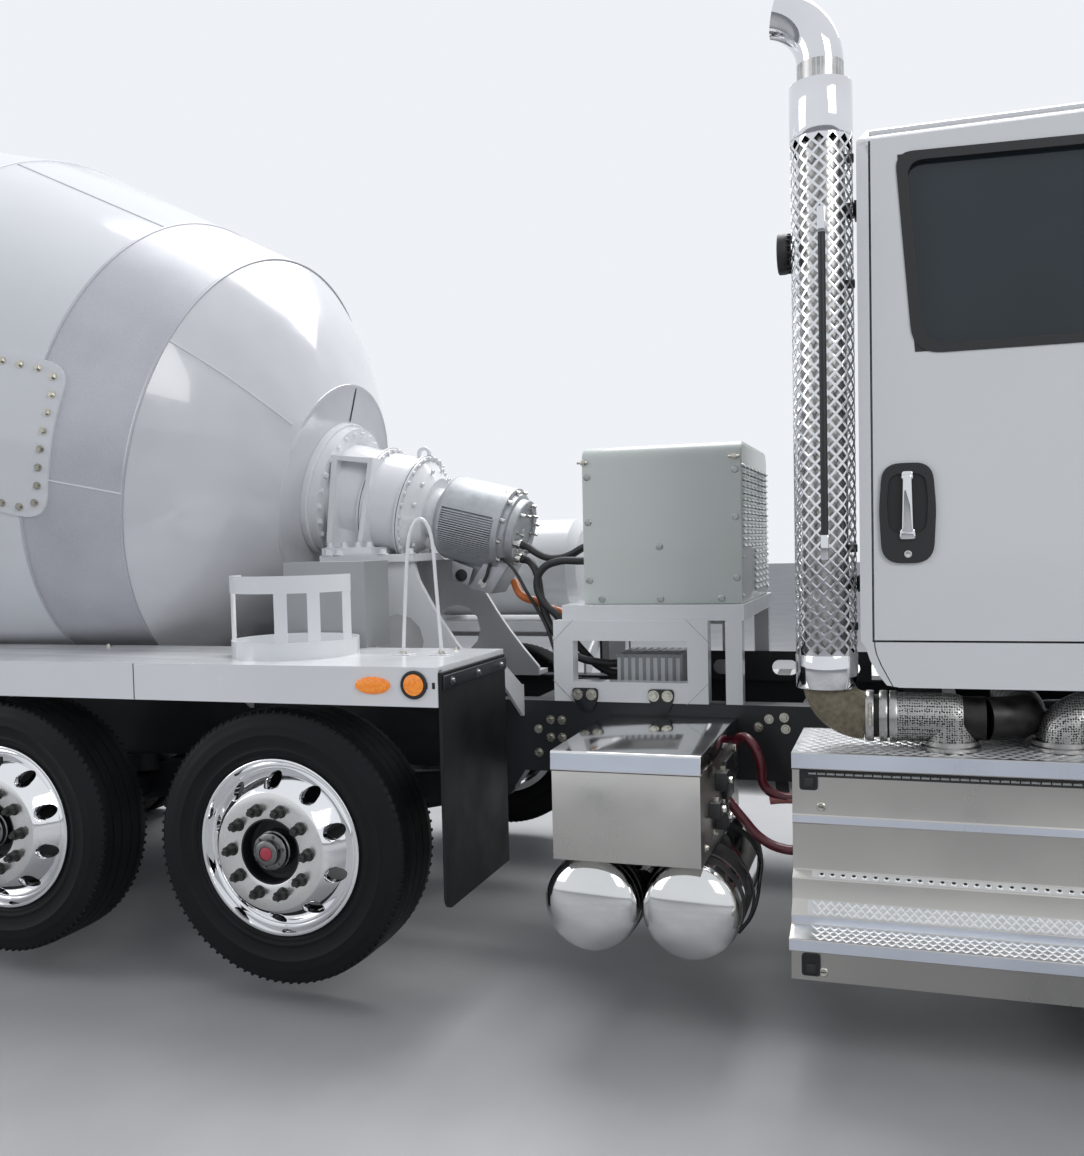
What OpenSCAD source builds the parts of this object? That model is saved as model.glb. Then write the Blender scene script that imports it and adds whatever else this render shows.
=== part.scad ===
// Concrete mixer truck: five axles, two of them lifted pusher axles, with an electric drum drive.
// Millimetres. +X is forward, +Y is the driver's left, Z = 0 is the ground under the tyres.

/* [Stance] */
// Station of the steer axle
steer_x = 4530; // [4450:4600]
// Station of the front pusher axle
pusher_front_x = 570; // [540:600]
// Station of the rear pusher axle
pusher_rear_x = -595; // [-620:-570]
// Station of the front drive axle
drive_front_x = -1870; // [-1900:-1850]
// Station of the rear drive axle
drive_rear_x = -3190; // [-3220:-3170]
// Height of the lifted pusher axles
pusher_z = 570; // [540:580]

/* [Tyres and wheels] */
// Outer radius of the steer and drive tyres
tyre_r = 520; // [505:525]
// Section width of the steer and drive tyres
tyre_w = 279; // [265:290]
// Outer radius of the pusher tyres
pusher_tyre_r = 464; // [450:470]
// Section width of the pusher tyres
pusher_tyre_w = 255; // [245:262]
// Radius of the rim flange
rim_r = 298.5; // [296:302]
// Half of the width between the rim flanges
rim_half_w = 105; // [100:108]
// Distance from the rim's centre to the face of its disc
disc_offset = 167; // [162:170]
// Radius of a wheel spindle
spindle_r = 42; // [38:50]
// Centre of a pusher tyre from the truck's centreline
pusher_y = 1088; // [1075:1092]
// Centre of a steer tyre from the truck's centreline
steer_y = 1045; // [1035:1055]
// Middle of a twin wheel from the truck's centreline
twin_y = 915; // [905:920]
// Distance of a kingpin from the truck's centreline
kingpin_y = 880; // [870:885]
// Height of the spring pads above the steer beam's middle
pad_h = 45; // [40:55]

/* [Chassis frame] */
// Height of the top of the frame rails
rail_top = 970; // [960:975]
// Height of a frame rail's section
rail_h = 270; // [255:280]
// Distance of a rail's outer face from the centreline
rail_y = 432; // [425:440]
// Width of a rail's flange
rail_flange = 90; // [80:100]
// Thickness of a rail
rail_t = 11; // [8:14]
// Rear end of the rails
rail_rear_x = -4080; // [-4110:-4060]
// Front end of the rails
rail_front_x = 5190; // [5170:5200]
// Front face of the bumper
bumper_x = 5330; // [5320:5350]
// Thickness of the bumper from front to back
bumper_t = 130; // [110:135]

/* [Cab] */
// Station of the cab's rear wall
cab_rear_x = 2440; // [2430:2450]
// Station of the firewall
firewall_x = 3900; // [3880:3905]
// Half of the cab's width
cab_half_w = 1050; // [1040:1060]
// Height of the cab's lower edge
cab_z = 1126; // [1110:1135]
// Height of the roof
roof_z = 2760; // [2740:2790]
// Thickness of the cab's walls and doors
wall = 60; // [50:70]
// Height of the cowl under the windscreen
cowl_z = 1950; // [1930:1970]
// Rear edge of a door
door_rear_x = 2479; // [2470:2490]
// Front edge of a door
door_front_x = 3600; // [3580:3610]
// Lower edge of a door
door_z = 1263; // [1250:1280]
// Upper edge of a door
door_top = 2690; // [2670:2700]
// Gap round a door and in front of the firewall
panel_gap = 6; // [5:8]
// Thickness of the window glass
glass_t = 8; // [6:10]
// Front face of the hood
hood_front_x = 5290; // [5270:5300]
// Thickness of the hood's panels
hood_t = 20; // [15:25]
// Height of the hood's hinge
hood_hinge_z = 760; // [750:770]

/* [Drum] */
// Station of the drum's front flange on its axis
drum_x = 203; // [195:210]
// Height of the drum's front flange on its axis
drum_z = 1814; // [1808:1830]
// Tilt of the drum's axis
drum_tilt = 13.84; // [13.5:0.1:14.2]
// Radius of the drum's widest part
belly_r = 1200; // [1170:1205]
// Radius of the drum's mouth
mouth_r = 590; // [570:610]
// Distance from the flange to the mouth along the axis
drum_len = 4050; // [4000:4100]
// Thickness of the drum's shell
shell_t = 8; // [6:12]
// Distance from the flange to the middle of the roller track
track_s = 3350; // [3300:3400]
// Height of the roller track over the drum's shell
track_h = 53; // [45:60]
// Radius of a drum roller
roller_r = 125; // [115:135]
// Width of a drum roller
roller_w = 120; // [100:130]
// Angle of the rollers from the lowest point of the track
roller_angle = 35; // [32:38]

/* [Decks] */
// Height of the decks
deck_top = 1187; // [1180:1195]
// Distance of a deck's outer face from the centreline
deck_y = 1245; // [1240:1250]
// Distance of a deck's inner edge from the centreline
deck_inner_y = 650; // [645:660]
// Height of a deck's lip
deck_lip = 125; // [110:130]
// Thickness of the deck's plate
deck_t = 10; // [8:12]
// Front end of the decks
deck_front_x = 1182; // [1175:1190]
// Reach of the decks behind the rear drive axle
deck_overhang = 610; // [600:620]

/* [Drum drive] */
// Height of the front pedestal's top plate
pedestal_top = 1533; // [1525:1540]
// Radius of the gearbox body
gearbox_r = 215; // [200:225]
// Radius of the drive motor
motor_r = 180; // [165:190]
// Length of the drive motor
motor_len = 370; // [350:390]

/* [Equipment behind the cab] */
// Rear end of the power cabinet
cabinet_x = 1412; // [1400:1420]
// Length of the power cabinet
cabinet_l = 598; // [580:610]
// Width of the power cabinet
cabinet_w = 750; // [740:790]
// Height of the power cabinet
cabinet_h = 589; // [570:600]
// Height of the cabinet's stand over the rails
stand_h = 360; // [350:370]
// Rear end of the tool box
toolbox_x = 1532; // [1520:1540]
// Length of the tool box
toolbox_l = 458; // [440:470]
// Height of the tool box's underside
toolbox_z = 597; // [590:610]
// Outer radius of an air tank
air_tank_r = 149; // [140:152]
// Length of an air tank
air_tank_l = 720; // [700:740]
// Station of the exhaust stack
stack_x = 2340; // [2330:2345]
// Distance of the exhaust stack from the centreline
stack_y = 1000; // [990:1010]
// Radius of the stack's heat shield
shield_r = 90; // [85:92]
// Rear end of the step boxes
steps_x = 2245; // [2235:2255]
// Length of the step boxes
steps_l = 1475; // [1450:1490]

/* [Discharge] */
// Station of the chute's swing axis
swing_x = -4330; // [-4350:-4320]
// Height of the chute's lift pivot
lift_z = 1420; // [1400:1440]
// Inner radius of the chutes
chute_r = 230; // [215:235]
// Length of the fold-over chute
fold_l = 570; // [540:580]

/* [Hidden] */
$fn = 64;
seat = 0.3;          // gap between two pieces that are seated on each other
eps = 1;             // overlap of solids that are fused into one piece
bead_r = 285.7;      // radius of the tyre's bead
hub_bore_clear = 0.5;
drive_z = tyre_r;
steer_z = tyre_r;
deck_rear_x = drive_rear_x - deck_overhang;

// Holds a 2-D outline in Y and Z, and runs it along X from x0.
module along_x(x0, len) translate([x0, 0, 0]) rotate([90, 0, 90]) linear_extrude(len) children();
// Holds a 2-D outline in X and Z, and runs it along Y from y0.
module along_y(y0, len) translate([0, y0 + len, 0]) rotate([90, 0, 0]) linear_extrude(len) children();
// Turns a piece whose own Z points out of the truck, and sets it at an axle's end.
module at_wheel(x, y, z, side) translate([x, side * y, z]) rotate([-side * 90, 0, 0]) children();
module both_sides() { children(); mirror([0, 1, 0]) children(); }
module rod_between(p, q, r) {
    d = q - p;
    translate(p) rotate([0, acos(d.z / norm(d)), atan2(d.y, d.x)]) cylinder(r = r, h = norm(d), $fn = 32);
}
function arc(cx, cz, r, a0, a1, n) =
    [for (i = [0 : n]) [cx + r * cos(a0 + (a1 - a0) * i / n), cz + r * sin(a0 + (a1 - a0) * i / n)]];

// Chassis frame

crossmember_l = 90;
crossmember_xs = [rail_rear_x + crossmember_l / 2, -2530, -1230, -40, 1230, 2250, 2700, 5080];
shaft_z = 800;       // height of the driveshaft between the rails
shaft_r = 48;
post_r = 40;         // radius of the chute's swing post
post_z = 860;
post_h = 240;
tow_r = 20;
tow_pos = [5250, 400];
tow_t = 30;
hinge_pin_r = 12;
hood_hinge_x = 5230;
hinge_lug_r = 24;
hinge_lug_y = 380;
hinge_lug_t = 20;

module frame_rails() {
    bumper_back = bumper_x - 30 - seat;
    color("#1b1c1f") union() {
        both_sides() along_x(rail_rear_x, rail_front_x - rail_rear_x) difference() {
            translate([rail_y - rail_flange, rail_top - rail_h]) square([rail_flange, rail_h]);
            translate([rail_y - rail_flange - eps, rail_top - rail_h + rail_t])
                square([rail_flange - rail_t + eps, rail_h - 2 * rail_t]);
        }
        difference() {
            for (x = crossmember_xs) along_y(-rail_y + rail_t - eps, 2 * (rail_y - rail_t + eps))
                difference() {
                    translate([x - crossmember_l / 2, rail_top - rail_h + rail_t])
                        square([crossmember_l, rail_h - 2 * rail_t]);
                    translate([x - crossmember_l / 2 + rail_t, rail_top - rail_h + 2 * rail_t])
                        square([crossmember_l, rail_h - 4 * rail_t]);
                }
            translate([-3000, 0, shaft_z]) rotate([0, 90, 0]) cylinder(r = shaft_r + 27, h = 6000);
        }
        cab_mounts();
        chute_bracket();
        slotted_beam();
        both_sides() along_y(rail_y - eps, tow_t + eps) difference() {
            polygon([[5040, 790], [5188, 790], [5230, 700], [bumper_back, 560], [bumper_back, 380],
                [5220, 350], [5100, 560]]);
            translate(tow_pos) circle(r = tow_r);
        }
        both_sides() along_y(hinge_lug_y, hinge_lug_t) {
            translate([hood_hinge_x, hood_hinge_z]) circle(r = hinge_lug_r);
            translate([5150, rail_top - rail_h]) square([hood_hinge_x - 5150, 84]);
        }
        both_sides() at_wheel(hood_hinge_x, hinge_lug_y, hood_hinge_z, 1)
            cylinder(r = hinge_pin_r, h = 2 * hinge_lug_t + 10);
    }
}

// Four rubber-topped brackets that carry the cab on the rails.
module cab_mounts() {
    both_sides() for (x = [2560, 3700]) {
        translate([x, rail_y - rail_flange, rail_top - eps]) cube([120, rail_flange,
            cab_z - rail_top - 30 + eps]);
        translate([x + 60, rail_y - rail_flange / 2, rail_top]) cylinder(r = 40,
            h = cab_z - rail_top - seat);
    }
}

// A doubler with long slots that stands on the left rail behind the cab.
module slotted_beam() along_y(rail_y - rail_flange, 12) difference() {
    translate([1740, rail_top - eps]) square([690, 116]);
    for (x = [1830, 2080, 2330]) hull() for (s = [-1, 1]) translate([x + s * 22,
        rail_top + 46]) circle(r = 32);
}

// The bearing tube of the chute's swing post on an arm behind the last crossmember.
module chute_bracket() difference() {
    union() {
        translate([swing_x, 0, post_z]) cylinder(r = post_r + 22, h = post_h);
        translate([swing_x, -50, post_z]) cube([rail_rear_x - swing_x + 20, 100, 90]);
    }
    translate([swing_x, 0, post_z - eps]) cylinder(r = post_r + 0.5, h = post_h + 2 * eps);
}

module front_bumper() {
    color("silver") translate([0, 0, 440]) linear_extrude(250) difference() {
        union() {
            translate([bumper_x - bumper_t, -1000]) square([bumper_t, 2000]);
            both_sides() translate([bumper_x - bumper_t, 1000]) intersection() {
                circle(r = bumper_t);
                translate([0, -bumper_t]) square(2 * bumper_t);
            }
        }
        translate([bumper_x - bumper_t - eps, -rail_y - 180]) square([bumper_t - 30 + eps,
            2 * rail_y + 360]);
    }
}

// Wheels and tyres

module tyre(r, w) {
    bead_w = rim_half_w - seat;
    side_r = bead_r + 0.45 * (r - bead_r);
    rotate_extrude($fn = 96) polygon([
        [bead_r, -bead_w], [rim_r + 2, -bead_w], [side_r - 40, -w / 2 + 6], [side_r + 20, -w / 2],
            [r - 32, -0.46 * w],
        [r - 8, -0.41 * w], [r, -0.30 * w], [r, 0.30 * w], [r - 8, 0.41 * w],
        [r - 32, 0.46 * w], [side_r + 20, w / 2], [side_r - 40, w / 2 - 6], [rim_r + 2, bead_w], [bead_r,
            bead_w]]);
}

rim_lip = 12;        // width of the rim's flange
rim_wall = 16;       // thickness of the rim's barrel
disc_t = 22;         // thickness of the wheel's disc
hub_r = 110;         // radius of the hole in the disc and of the hub's pilot
hub_back = 62;       // reach of a single hub behind the rim's centre
hand_hole_r = 26;
hand_hole_pitch_r = 232;

// A disc wheel about its own Z, with its bulged face towards +Z.
module disc_wheel() {
    barrel_r = bead_r - seat;
    edge = rim_half_w + rim_lip;
    difference() {
        rotate_extrude($fn = 96) polygon([
            [rim_r, edge], [rim_r, rim_half_w], [barrel_r, rim_half_w],
            [barrel_r, -rim_half_w], [rim_r, -rim_half_w], [rim_r, -edge],
            [barrel_r - rim_wall, -edge], [barrel_r - rim_wall, edge - 60],
            [200, disc_offset - disc_t], [hub_r, disc_offset - disc_t],
            [hub_r, disc_offset], [198, disc_offset], [barrel_r - rim_wall, edge - 25],
            [barrel_r - rim_wall, edge]]);
        for (i = [0 : 9]) rotate([0, 0, 18 + 36 * i]) translate([hand_hole_pitch_r, 0, 0])
            cylinder(r = hand_hole_r, h = disc_offset + eps, $fn = 32);
    }
}

// The hub that carries a single wheel: flange behind the disc, barrel, recess and cap.
module single_hub() {
    face = disc_offset - disc_t;
    difference() {
        union() {
            translate([0, 0, face - 30]) cylinder(r = 165, h = 30 + eps);
            translate([0, 0, -hub_back]) cylinder(r = 88, h = face + hub_back);
            translate([0, 0, face - eps]) cylinder(r = hub_r - 0.5, h = 12);
            translate([0, 0, face]) cylinder(r = 55, h = 42);
            translate([0, 0, face + 42 - eps]) cylinder(r = 32, h = 10);
        }
        translate([0, 0, -hub_back - eps]) cylinder(r = spindle_r + hub_bore_clear, h = hub_back + 110);
    }
}

module single_wheel() { color("silver") union() { disc_wheel(); single_hub(); } }

twin_hub_back = 180; // reach of a twin hub behind the discs
twin_spindle_r = spindle_r + 20;

// Twin wheels about their own Z: the discs meet at Z = 0 on the hub's flange.
module twin_wheels() {
    hub_face = 120;
    color("silver") difference() {
        union() {
            translate([0, 0, disc_offset]) mirror([0, 0, 1]) disc_wheel();
            translate([0, 0, -disc_offset]) disc_wheel();
            translate([0, 0, -disc_t - 30]) cylinder(r = 165, h = 30 + eps);
            translate([0, 0, -twin_hub_back]) cylinder(r = 100, h = twin_hub_back + hub_face);
            translate([0, 0, hub_face - eps]) cylinder(r = 80, h = 30);
            translate([0, 0, -disc_t / 2]) cylinder(r = hub_r + 10, h = disc_t);
        }
        translate([0, 0, -twin_hub_back - eps]) cylinder(r = twin_spindle_r + hub_bore_clear,
            h = twin_hub_back + 80);
    }
}
module twin_tyres() {
    color("#18191b") for (z = [-disc_offset, disc_offset]) translate([0, 0, z]) tyre(tyre_r, tyre_w);
}

module steer_tyre(side) at_wheel(steer_x, steer_y, steer_z, side) color("#18191b") tyre(tyre_r, tyre_w);
module steer_wheel(side) at_wheel(steer_x, steer_y, steer_z, side) single_wheel();
module pusher_tyre(x, side) at_wheel(x, pusher_y, pusher_z, side) color("#18191b")
    tyre(pusher_tyre_r, pusher_tyre_w);
module pusher_wheel(x, side) at_wheel(x, pusher_y, pusher_z, side) single_wheel();
module drive_tyres(x, side) at_wheel(x, twin_y, drive_z, side) twin_tyres();
module drive_wheels(x, side) at_wheel(x, twin_y, drive_z, side) twin_wheels();

// Steer axle, knuckles and tie rod

beam_t = 90;         // width of the steer beam
eye_h = 120;         // height of the beam's kingpin eye
eye_r = 52;
kingpin_r = 24;
spring_y = rail_y - rail_flange / 2;
spring_half_l = 640;
spring_w = 76;
arm_x = 190;         // reach of a steering arm behind its kingpin
arm_z = steer_z - 90;

module steer_axle() {
    drop = 110;
    spring_z = steer_z + pad_h;
    color("#1b1c1f") difference() {
        union() {
            along_x(steer_x - beam_t / 2, beam_t) polygon([
                [-kingpin_y, steer_z - 40], [-kingpin_y + 90, steer_z - 50], [-600, steer_z - 50 - drop],
                [600, steer_z - 50 - drop], [kingpin_y - 90, steer_z - 50], [kingpin_y, steer_z - 40],
                [kingpin_y, steer_z + 40], [kingpin_y - 90, steer_z + pad_h], [spring_y + 90,
                    steer_z + pad_h],
                [spring_y - 90, steer_z + pad_h], [200, steer_z - drop + 40], [-200, steer_z - drop + 40],
                [-spring_y + 90, steer_z + pad_h], [-spring_y - 90, steer_z + pad_h],
                [-kingpin_y + 90, steer_z + pad_h]]);
            both_sides() translate([steer_x, kingpin_y, steer_z - eye_h / 2]) cylinder(r = eye_r,
                h = eye_h);
            both_sides() leaf_spring(spring_z);
        }
        both_sides() translate([steer_x, kingpin_y, steer_z - eye_h]) cylinder(r = kingpin_r + 0.5,
            h = 2 * eye_h);
    }
}

// A leaf spring under a rail, with its two hangers up to the rail's lower flange.
module leaf_spring(z) {
    bow_r = 5200;
    sag = bow_r - sqrt(bow_r * bow_r - spring_half_l * spring_half_l);
    rail_under = rail_top - rail_h;
    leaf = 48;
    half_a = asin(spring_half_l / bow_r);
    along_y(spring_y - spring_w / 2, spring_w) union() {
        polygon(concat(arc(steer_x, z + bow_r - eps, bow_r, -90 - half_a, -90 + half_a, 12),
            arc(steer_x, z + bow_r - eps, bow_r - leaf, -90 + half_a, -90 - half_a, 12)));
        for (s = [-1, 1]) translate([steer_x + s * spring_half_l - 40, z + sag - 20])
            square([80, rail_under - seat - z - sag + 20]);
    }
}

module knuckle(side) {
    fork_h = 34;
    gap = 1;
    color("#2a2b2e") difference() {
        union() {
            for (s = [-1, 1]) translate([steer_x, side * kingpin_y,
                steer_z + s * (eye_h / 2 + gap + fork_h / 2)])
                cylinder(r = eye_r, h = fork_h, center = true);
            translate([steer_x, side * kingpin_y, steer_z - eye_h / 2 - fork_h])
                cylinder(r = kingpin_r, h = eye_h + 2 * fork_h);
            translate([steer_x - eye_r, side * (kingpin_y + eye_r + 19) - 15, steer_z - eye_h / 2 - fork_h])
                cube([2 * eye_r, 30, eye_h + 2 * fork_h]);
            for (s = [-1, 1]) translate([steer_x - eye_r, side * (kingpin_y + eye_r - 4) - 35,
                steer_z + s * (eye_h / 2 + gap + fork_h / 2) - fork_h / 2]) cube([2 * eye_r, 70, fork_h]);
            at_wheel(steer_x, kingpin_y + eye_r + 20, steer_z, side)
                cylinder(r = spindle_r, h = steer_y + 60 - kingpin_y - eye_r - 20);
            translate([steer_x - arm_x, side * kingpin_y - 25, steer_z - eye_h / 2 - gap - fork_h])
                cube([arm_x, 50, fork_h - gap]);
            translate([steer_x - arm_x, side * kingpin_y, steer_z - eye_h / 2 - gap - fork_h])
                cylinder(r = 34, h = fork_h - gap);
        }
        translate([steer_x - arm_x, side * kingpin_y, steer_z - eye_h]) cylinder(r = 16.5, h = eye_h);
    }
}

module tie_rod() {
    eye_top = steer_z - eye_h / 2 - 36;
    color("#2a2b2e") union() {
        for (s = [-1, 1]) translate([steer_x - arm_x, s * kingpin_y, eye_top - 50]) {
            cylinder(r = 30, h = 50 - seat);
            cylinder(r = 16, h = 90);
        }
        at_wheel(steer_x - arm_x, -kingpin_y, eye_top - 25, 1) cylinder(r = 19, h = 2 * kingpin_y);
    }
}

// Pusher and drive axles

module pusher_axle(x) {
    tube_r = 64;
    arm_l = 520;
    hanger_x = x + arm_l;
    arm_w = 70;
    rail_under = rail_top - rail_h;
    at_wheel(x, -pusher_y + 90, pusher_z, 1) cylinder(r = tube_r, h = 2 * (pusher_y - 90));
    at_wheel(x, -pusher_y - 60, pusher_z, 1) cylinder(r = spindle_r, h = 2 * (pusher_y + 60));
    both_sides() {
        along_y(rail_y - rail_flange / 2 - arm_w / 2, arm_w) polygon(concat(
            arc(x, pusher_z, tube_r + 24, 100, 260, 8), arc(hanger_x, 640, 45, -90, 90, 6)));
        along_y(rail_y - rail_flange, rail_flange) polygon([
            [hanger_x - 90, rail_under - seat], [hanger_x - 50, 640], [hanger_x + 50, 640],
            [hanger_x + 90, rail_under - seat]]);
        translate([x, rail_y - rail_flange / 2, pusher_z + tube_r - 6])
            cylinder(r = 105, h = rail_under - seat - pusher_z - tube_r + 6);
    }
}

module pusher_axles() {
    color("#1b1c1f") for (x = [pusher_front_x, pusher_rear_x]) union() pusher_axle(x);
}

bowl_r = 205;

module drive_axle(x) {
    tube_end = twin_y - twin_hub_back - 6;
    at_wheel(x, -tube_end, drive_z, 1) cylinder(r = 78, h = 2 * tube_end);
    at_wheel(x, -twin_y - 60, drive_z, 1) cylinder(r = twin_spindle_r, h = 2 * (twin_y + 60));
    translate([x, 0, drive_z]) rotate([0, 90, 0]) {
        translate([0, 0, -90]) cylinder(r = bowl_r, h = 180);
        translate([0, 0, 90 - eps]) cylinder(r1 = bowl_r - 40, r2 = 90, h = 150);
        translate([0, 0, -150]) cylinder(r1 = 110, r2 = bowl_r - 30, h = 61);
        translate([0, 0, -300]) cylinder(r = 60, h = 200);
    }
}

module drive_axles() {
    rail_under = rail_top - rail_h;
    mid = (drive_front_x + drive_rear_x) / 2;
    color("#1b1c1f") union() {
        for (x = [drive_front_x, drive_rear_x]) drive_axle(x);
        rod_between([drive_rear_x + 200, 0, drive_z], [drive_front_x - 200, 0, drive_z], shaft_r);
        rod_between([drive_front_x + 200, 0, drive_z], [pusher_rear_x - 60, 0, shaft_z], shaft_r);
        rod_between([pusher_rear_x - 60, 0, shaft_z], [gearbox_rear_x - seat, 0, shaft_z], shaft_r);
        for (p = [[pusher_rear_x - 60, shaft_z], [drive_front_x + 200, drive_z],
            [drive_front_x - 200, drive_z], [drive_rear_x + 200, drive_z]])
            translate([p.x, 0, p.y]) sphere(r = shaft_r + 18, $fn = 32);
        both_sides() along_y(rail_y - rail_flange, 100) polygon([
            [drive_rear_x - 110, drive_z - 60], [mid - 100, drive_z - 120], [mid + 100, drive_z - 120],
            [drive_front_x + 110, drive_z - 60], [drive_front_x + 110, drive_z + 60],
            [mid + 190, drive_z + 40], [mid + 150, rail_under - seat], [mid - 150, rail_under - seat],
            [mid - 190, drive_z + 40], [drive_rear_x - 110, drive_z + 60]]);
    }
}

// Engine and radiator under the hood

gearbox_rear_x = 2900;

module engine() {
    block_half_w = 330;
    color("#4a4c50") {
        union() {
            along_x(firewall_x + 60, 900) polygon([[-block_half_w, 820], [-180, 640], [180, 640],
                [block_half_w, 820],
                [block_half_w, 1380], [240, 1500], [-240, 1500], [-block_half_w, 1380]]);
            translate([gearbox_rear_x, 0, shaft_z + 20]) rotate([0, 90, 0])
                cylinder(r1 = 120, r2 = 190, h = firewall_x + 60 - gearbox_rear_x + eps);
            both_sides() translate([4180, block_half_w - eps, shaft_z])
                cube([120, rail_y - rail_t - seat - block_half_w + eps, 90]);
        }
        translate([4960, -440, rail_top + seat]) cube([90, 880, 560]);
    }
}

// Hood with its fenders, and its grille and lamps

arch_r = 645;
fender_z = steer_z + 200;
fender_t = 28;
fender_y = 1235;
hood_half_w = 560;
hood_rear_x = firewall_x + panel_gap + 4;
hood_top = cowl_z - 20;
nose_top = 1560;

fender_in_y = 470;
// Columns: station, half width of the hood there.
hood_plan = [[hood_rear_x - 10, hood_half_w], [4300, hood_half_w], [hood_front_x - 110, 505],
    [hood_front_x + 10, 440]];

module hood_side(inset) polygon([
    [hood_rear_x - eps * sign(inset), 1100 - 400 * sign(inset)], [hood_rear_x - eps * sign(inset),
        hood_top - inset],
    [hood_front_x - 160, nose_top + 40 - inset], [hood_front_x - 40 - inset, nose_top - 70 - inset],
    [hood_front_x - inset, 1300], [hood_front_x - inset, 830 - 400 * sign(inset)],
    [hood_front_x - 160 - inset, 830 - 400 * sign(inset)]]);

// The hood's outer form, or its hollow when inset is its wall.
module hood_body(inset) intersection() {
    along_y(-hood_half_w + inset, 2 * (hood_half_w - inset)) hood_side(inset);
    along_x(hood_rear_x - 200, hood_front_x - hood_rear_x + 200) union() {
        r = 250 - inset;
        translate([-hood_half_w + inset, 300]) square([2 * (hood_half_w - inset), 1380]);
        translate([-hood_half_w + 250, 300]) square([2 * hood_half_w - 500, 1700]);
        for (s = [-1, 1]) translate([s * (hood_half_w - 250), 1680]) circle(r = r);
    }
    linear_extrude(roof_z) polygon([for (s = [-1, 1], p = s < 0 ? hood_plan : [for (i = [3 : -1 : 0])
        hood_plan[i]]) [p.x, s * (p.y - inset)]]);
}

// A fender's outline over the steer wheel, from the side.
module fender_outline() difference() {
    union() {
        intersection() {
            translate([steer_x, steer_z]) circle(r = arch_r + fender_t, $fn = 96);
            translate([steer_x - 800, fender_z]) square([1600, 800]);
        }
        translate([steer_x + 480, fender_z]) square([hood_front_x - 30 - steer_x - 480, 480]);
    }
    translate([steer_x, steer_z]) circle(r = arch_r, $fn = 96);
    translate([steer_x + arch_r + 20, fender_z - eps])
        square([hood_front_x - 50 - hood_t - steer_x - arch_r, 480 - hood_t]);
}

module hood() {
    color("#f2f3f3") difference() {
        union() {
            difference() {
                hood_body(0);
                hood_body(hood_t);
                translate([hood_front_x - 200, -380, 900]) cube([400, 760, 540]);
                along_y(-hood_half_w - eps, 2 * hood_half_w + 2 * eps)
                    translate([steer_x, steer_z]) circle(r = arch_r, $fn = 96);
            }
            both_sides() along_y(fender_in_y, fender_y - fender_in_y) fender_outline();
            both_sides() along_y(hinge_lug_y + hinge_lug_t + 5, hinge_lug_t) polygon([
                [hood_hinge_x - hinge_lug_r, hood_hinge_z - 20], [hood_hinge_x + 20, hood_hinge_z - 20],
                [hood_front_x - 5, 860], [hood_front_x - 5, 920], [hood_front_x - hood_t - 5, 920],
                [hood_hinge_x - hinge_lug_r, hood_hinge_z + 30]]);
        }
        both_sides() at_wheel(hood_hinge_x, hinge_lug_y, hood_hinge_z, 1)
            cylinder(r = hinge_pin_r + 0.5, h = 4 * hinge_lug_t);
    }
}

module hood_trim() {
    color("silver") {
        union() {
            for (i = [0 : 8]) translate([hood_front_x - 24, -379.7, 920 + 60 * i]) cube([18, 759.4, 22]);
            for (y = [-379.7, -12, 355.7]) translate([hood_front_x - 24, y, 910]) cube([10, 24, 522]);
        }
        both_sides() translate([hood_front_x - 30 + seat, 700, 900]) cube([24, 320, 170]);
    }
}

// Cab

ws_top_x = 3500;     // station of the windscreen's upper edge
ws_base_x = firewall_x - 10;
roof_corner_r = 150;
screen_z0 = cowl_z + 60;
screen_z1 = roof_z - 120;
screen_half_w = cab_half_w - 130;
rear_window_w = 1200;
rear_window_h = 480;
rear_window_z = 2080;

// The cut-off lower rear corner. Columns: distance from the rear wall, height over the lower edge.
cab_heel = [[0, 136], [15, 113], [26, 78], [48, 38], [72, 6], [108, 0]];

module cab_side(w) polygon(concat([for (p = cab_heel) [cab_rear_x + w + p.x, cab_z + w + p.y]], [
    [firewall_x - w, cab_z + w], [firewall_x - w, cowl_z - w],
    [ws_base_x - 2 * w, cowl_z], [ws_top_x - w, roof_z - w], [cab_rear_x + w + 40, roof_z - w],
    [cab_rear_x + w, roof_z - w - 60]]));

module cab_front(w) union() {
    r = roof_corner_r;
    half = cab_half_w - w;
    top = roof_z - w;
    translate([-half, cab_z + w]) square([2 * half, top - r - cab_z - w]);
    translate([-half + r, cab_z + w]) square([2 * (half - r), top - cab_z - w]);
    for (s = [-1, 1]) translate([s * (half - r), top - r]) circle(r = r);
}

module cab_body(w) intersection() {
    along_y(-cab_half_w - 10, 2 * cab_half_w + 20) cab_side(w);
    along_x(cab_rear_x - 10, firewall_x - cab_rear_x + 20) cab_front(w);
}

// Outline of a door in X and Z, grown by g on every side.
module door_outline(g) polygon([
    [door_rear_x - g, door_z - g], [door_front_x + g, door_z - g], [door_front_x + g, cowl_z + 30],
    [ws_top_x - 45 + g, door_top - 30 + g], [ws_top_x - 90, door_top + g], [door_rear_x - g,
        door_top + g]]);

// Outline of a side window in X and Z, shrunk by s on every side.
module window_outline(s) polygon([
    [2596 + s, 2083 + s], [door_front_x - 70 - s, 2083 + s], [ws_top_x - 125 - s, door_top - 75 - s],
    [2552 + s, door_top - 52 - s]]);

hinge_x = door_front_x + panel_gap;
hinge_y = cab_half_w + 6;
hinge_zs = [1400, 1880];
door_pin_r = 7;
knuckle_r = 13;
knuckle_h = 50;
ear_h = 18;

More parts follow.
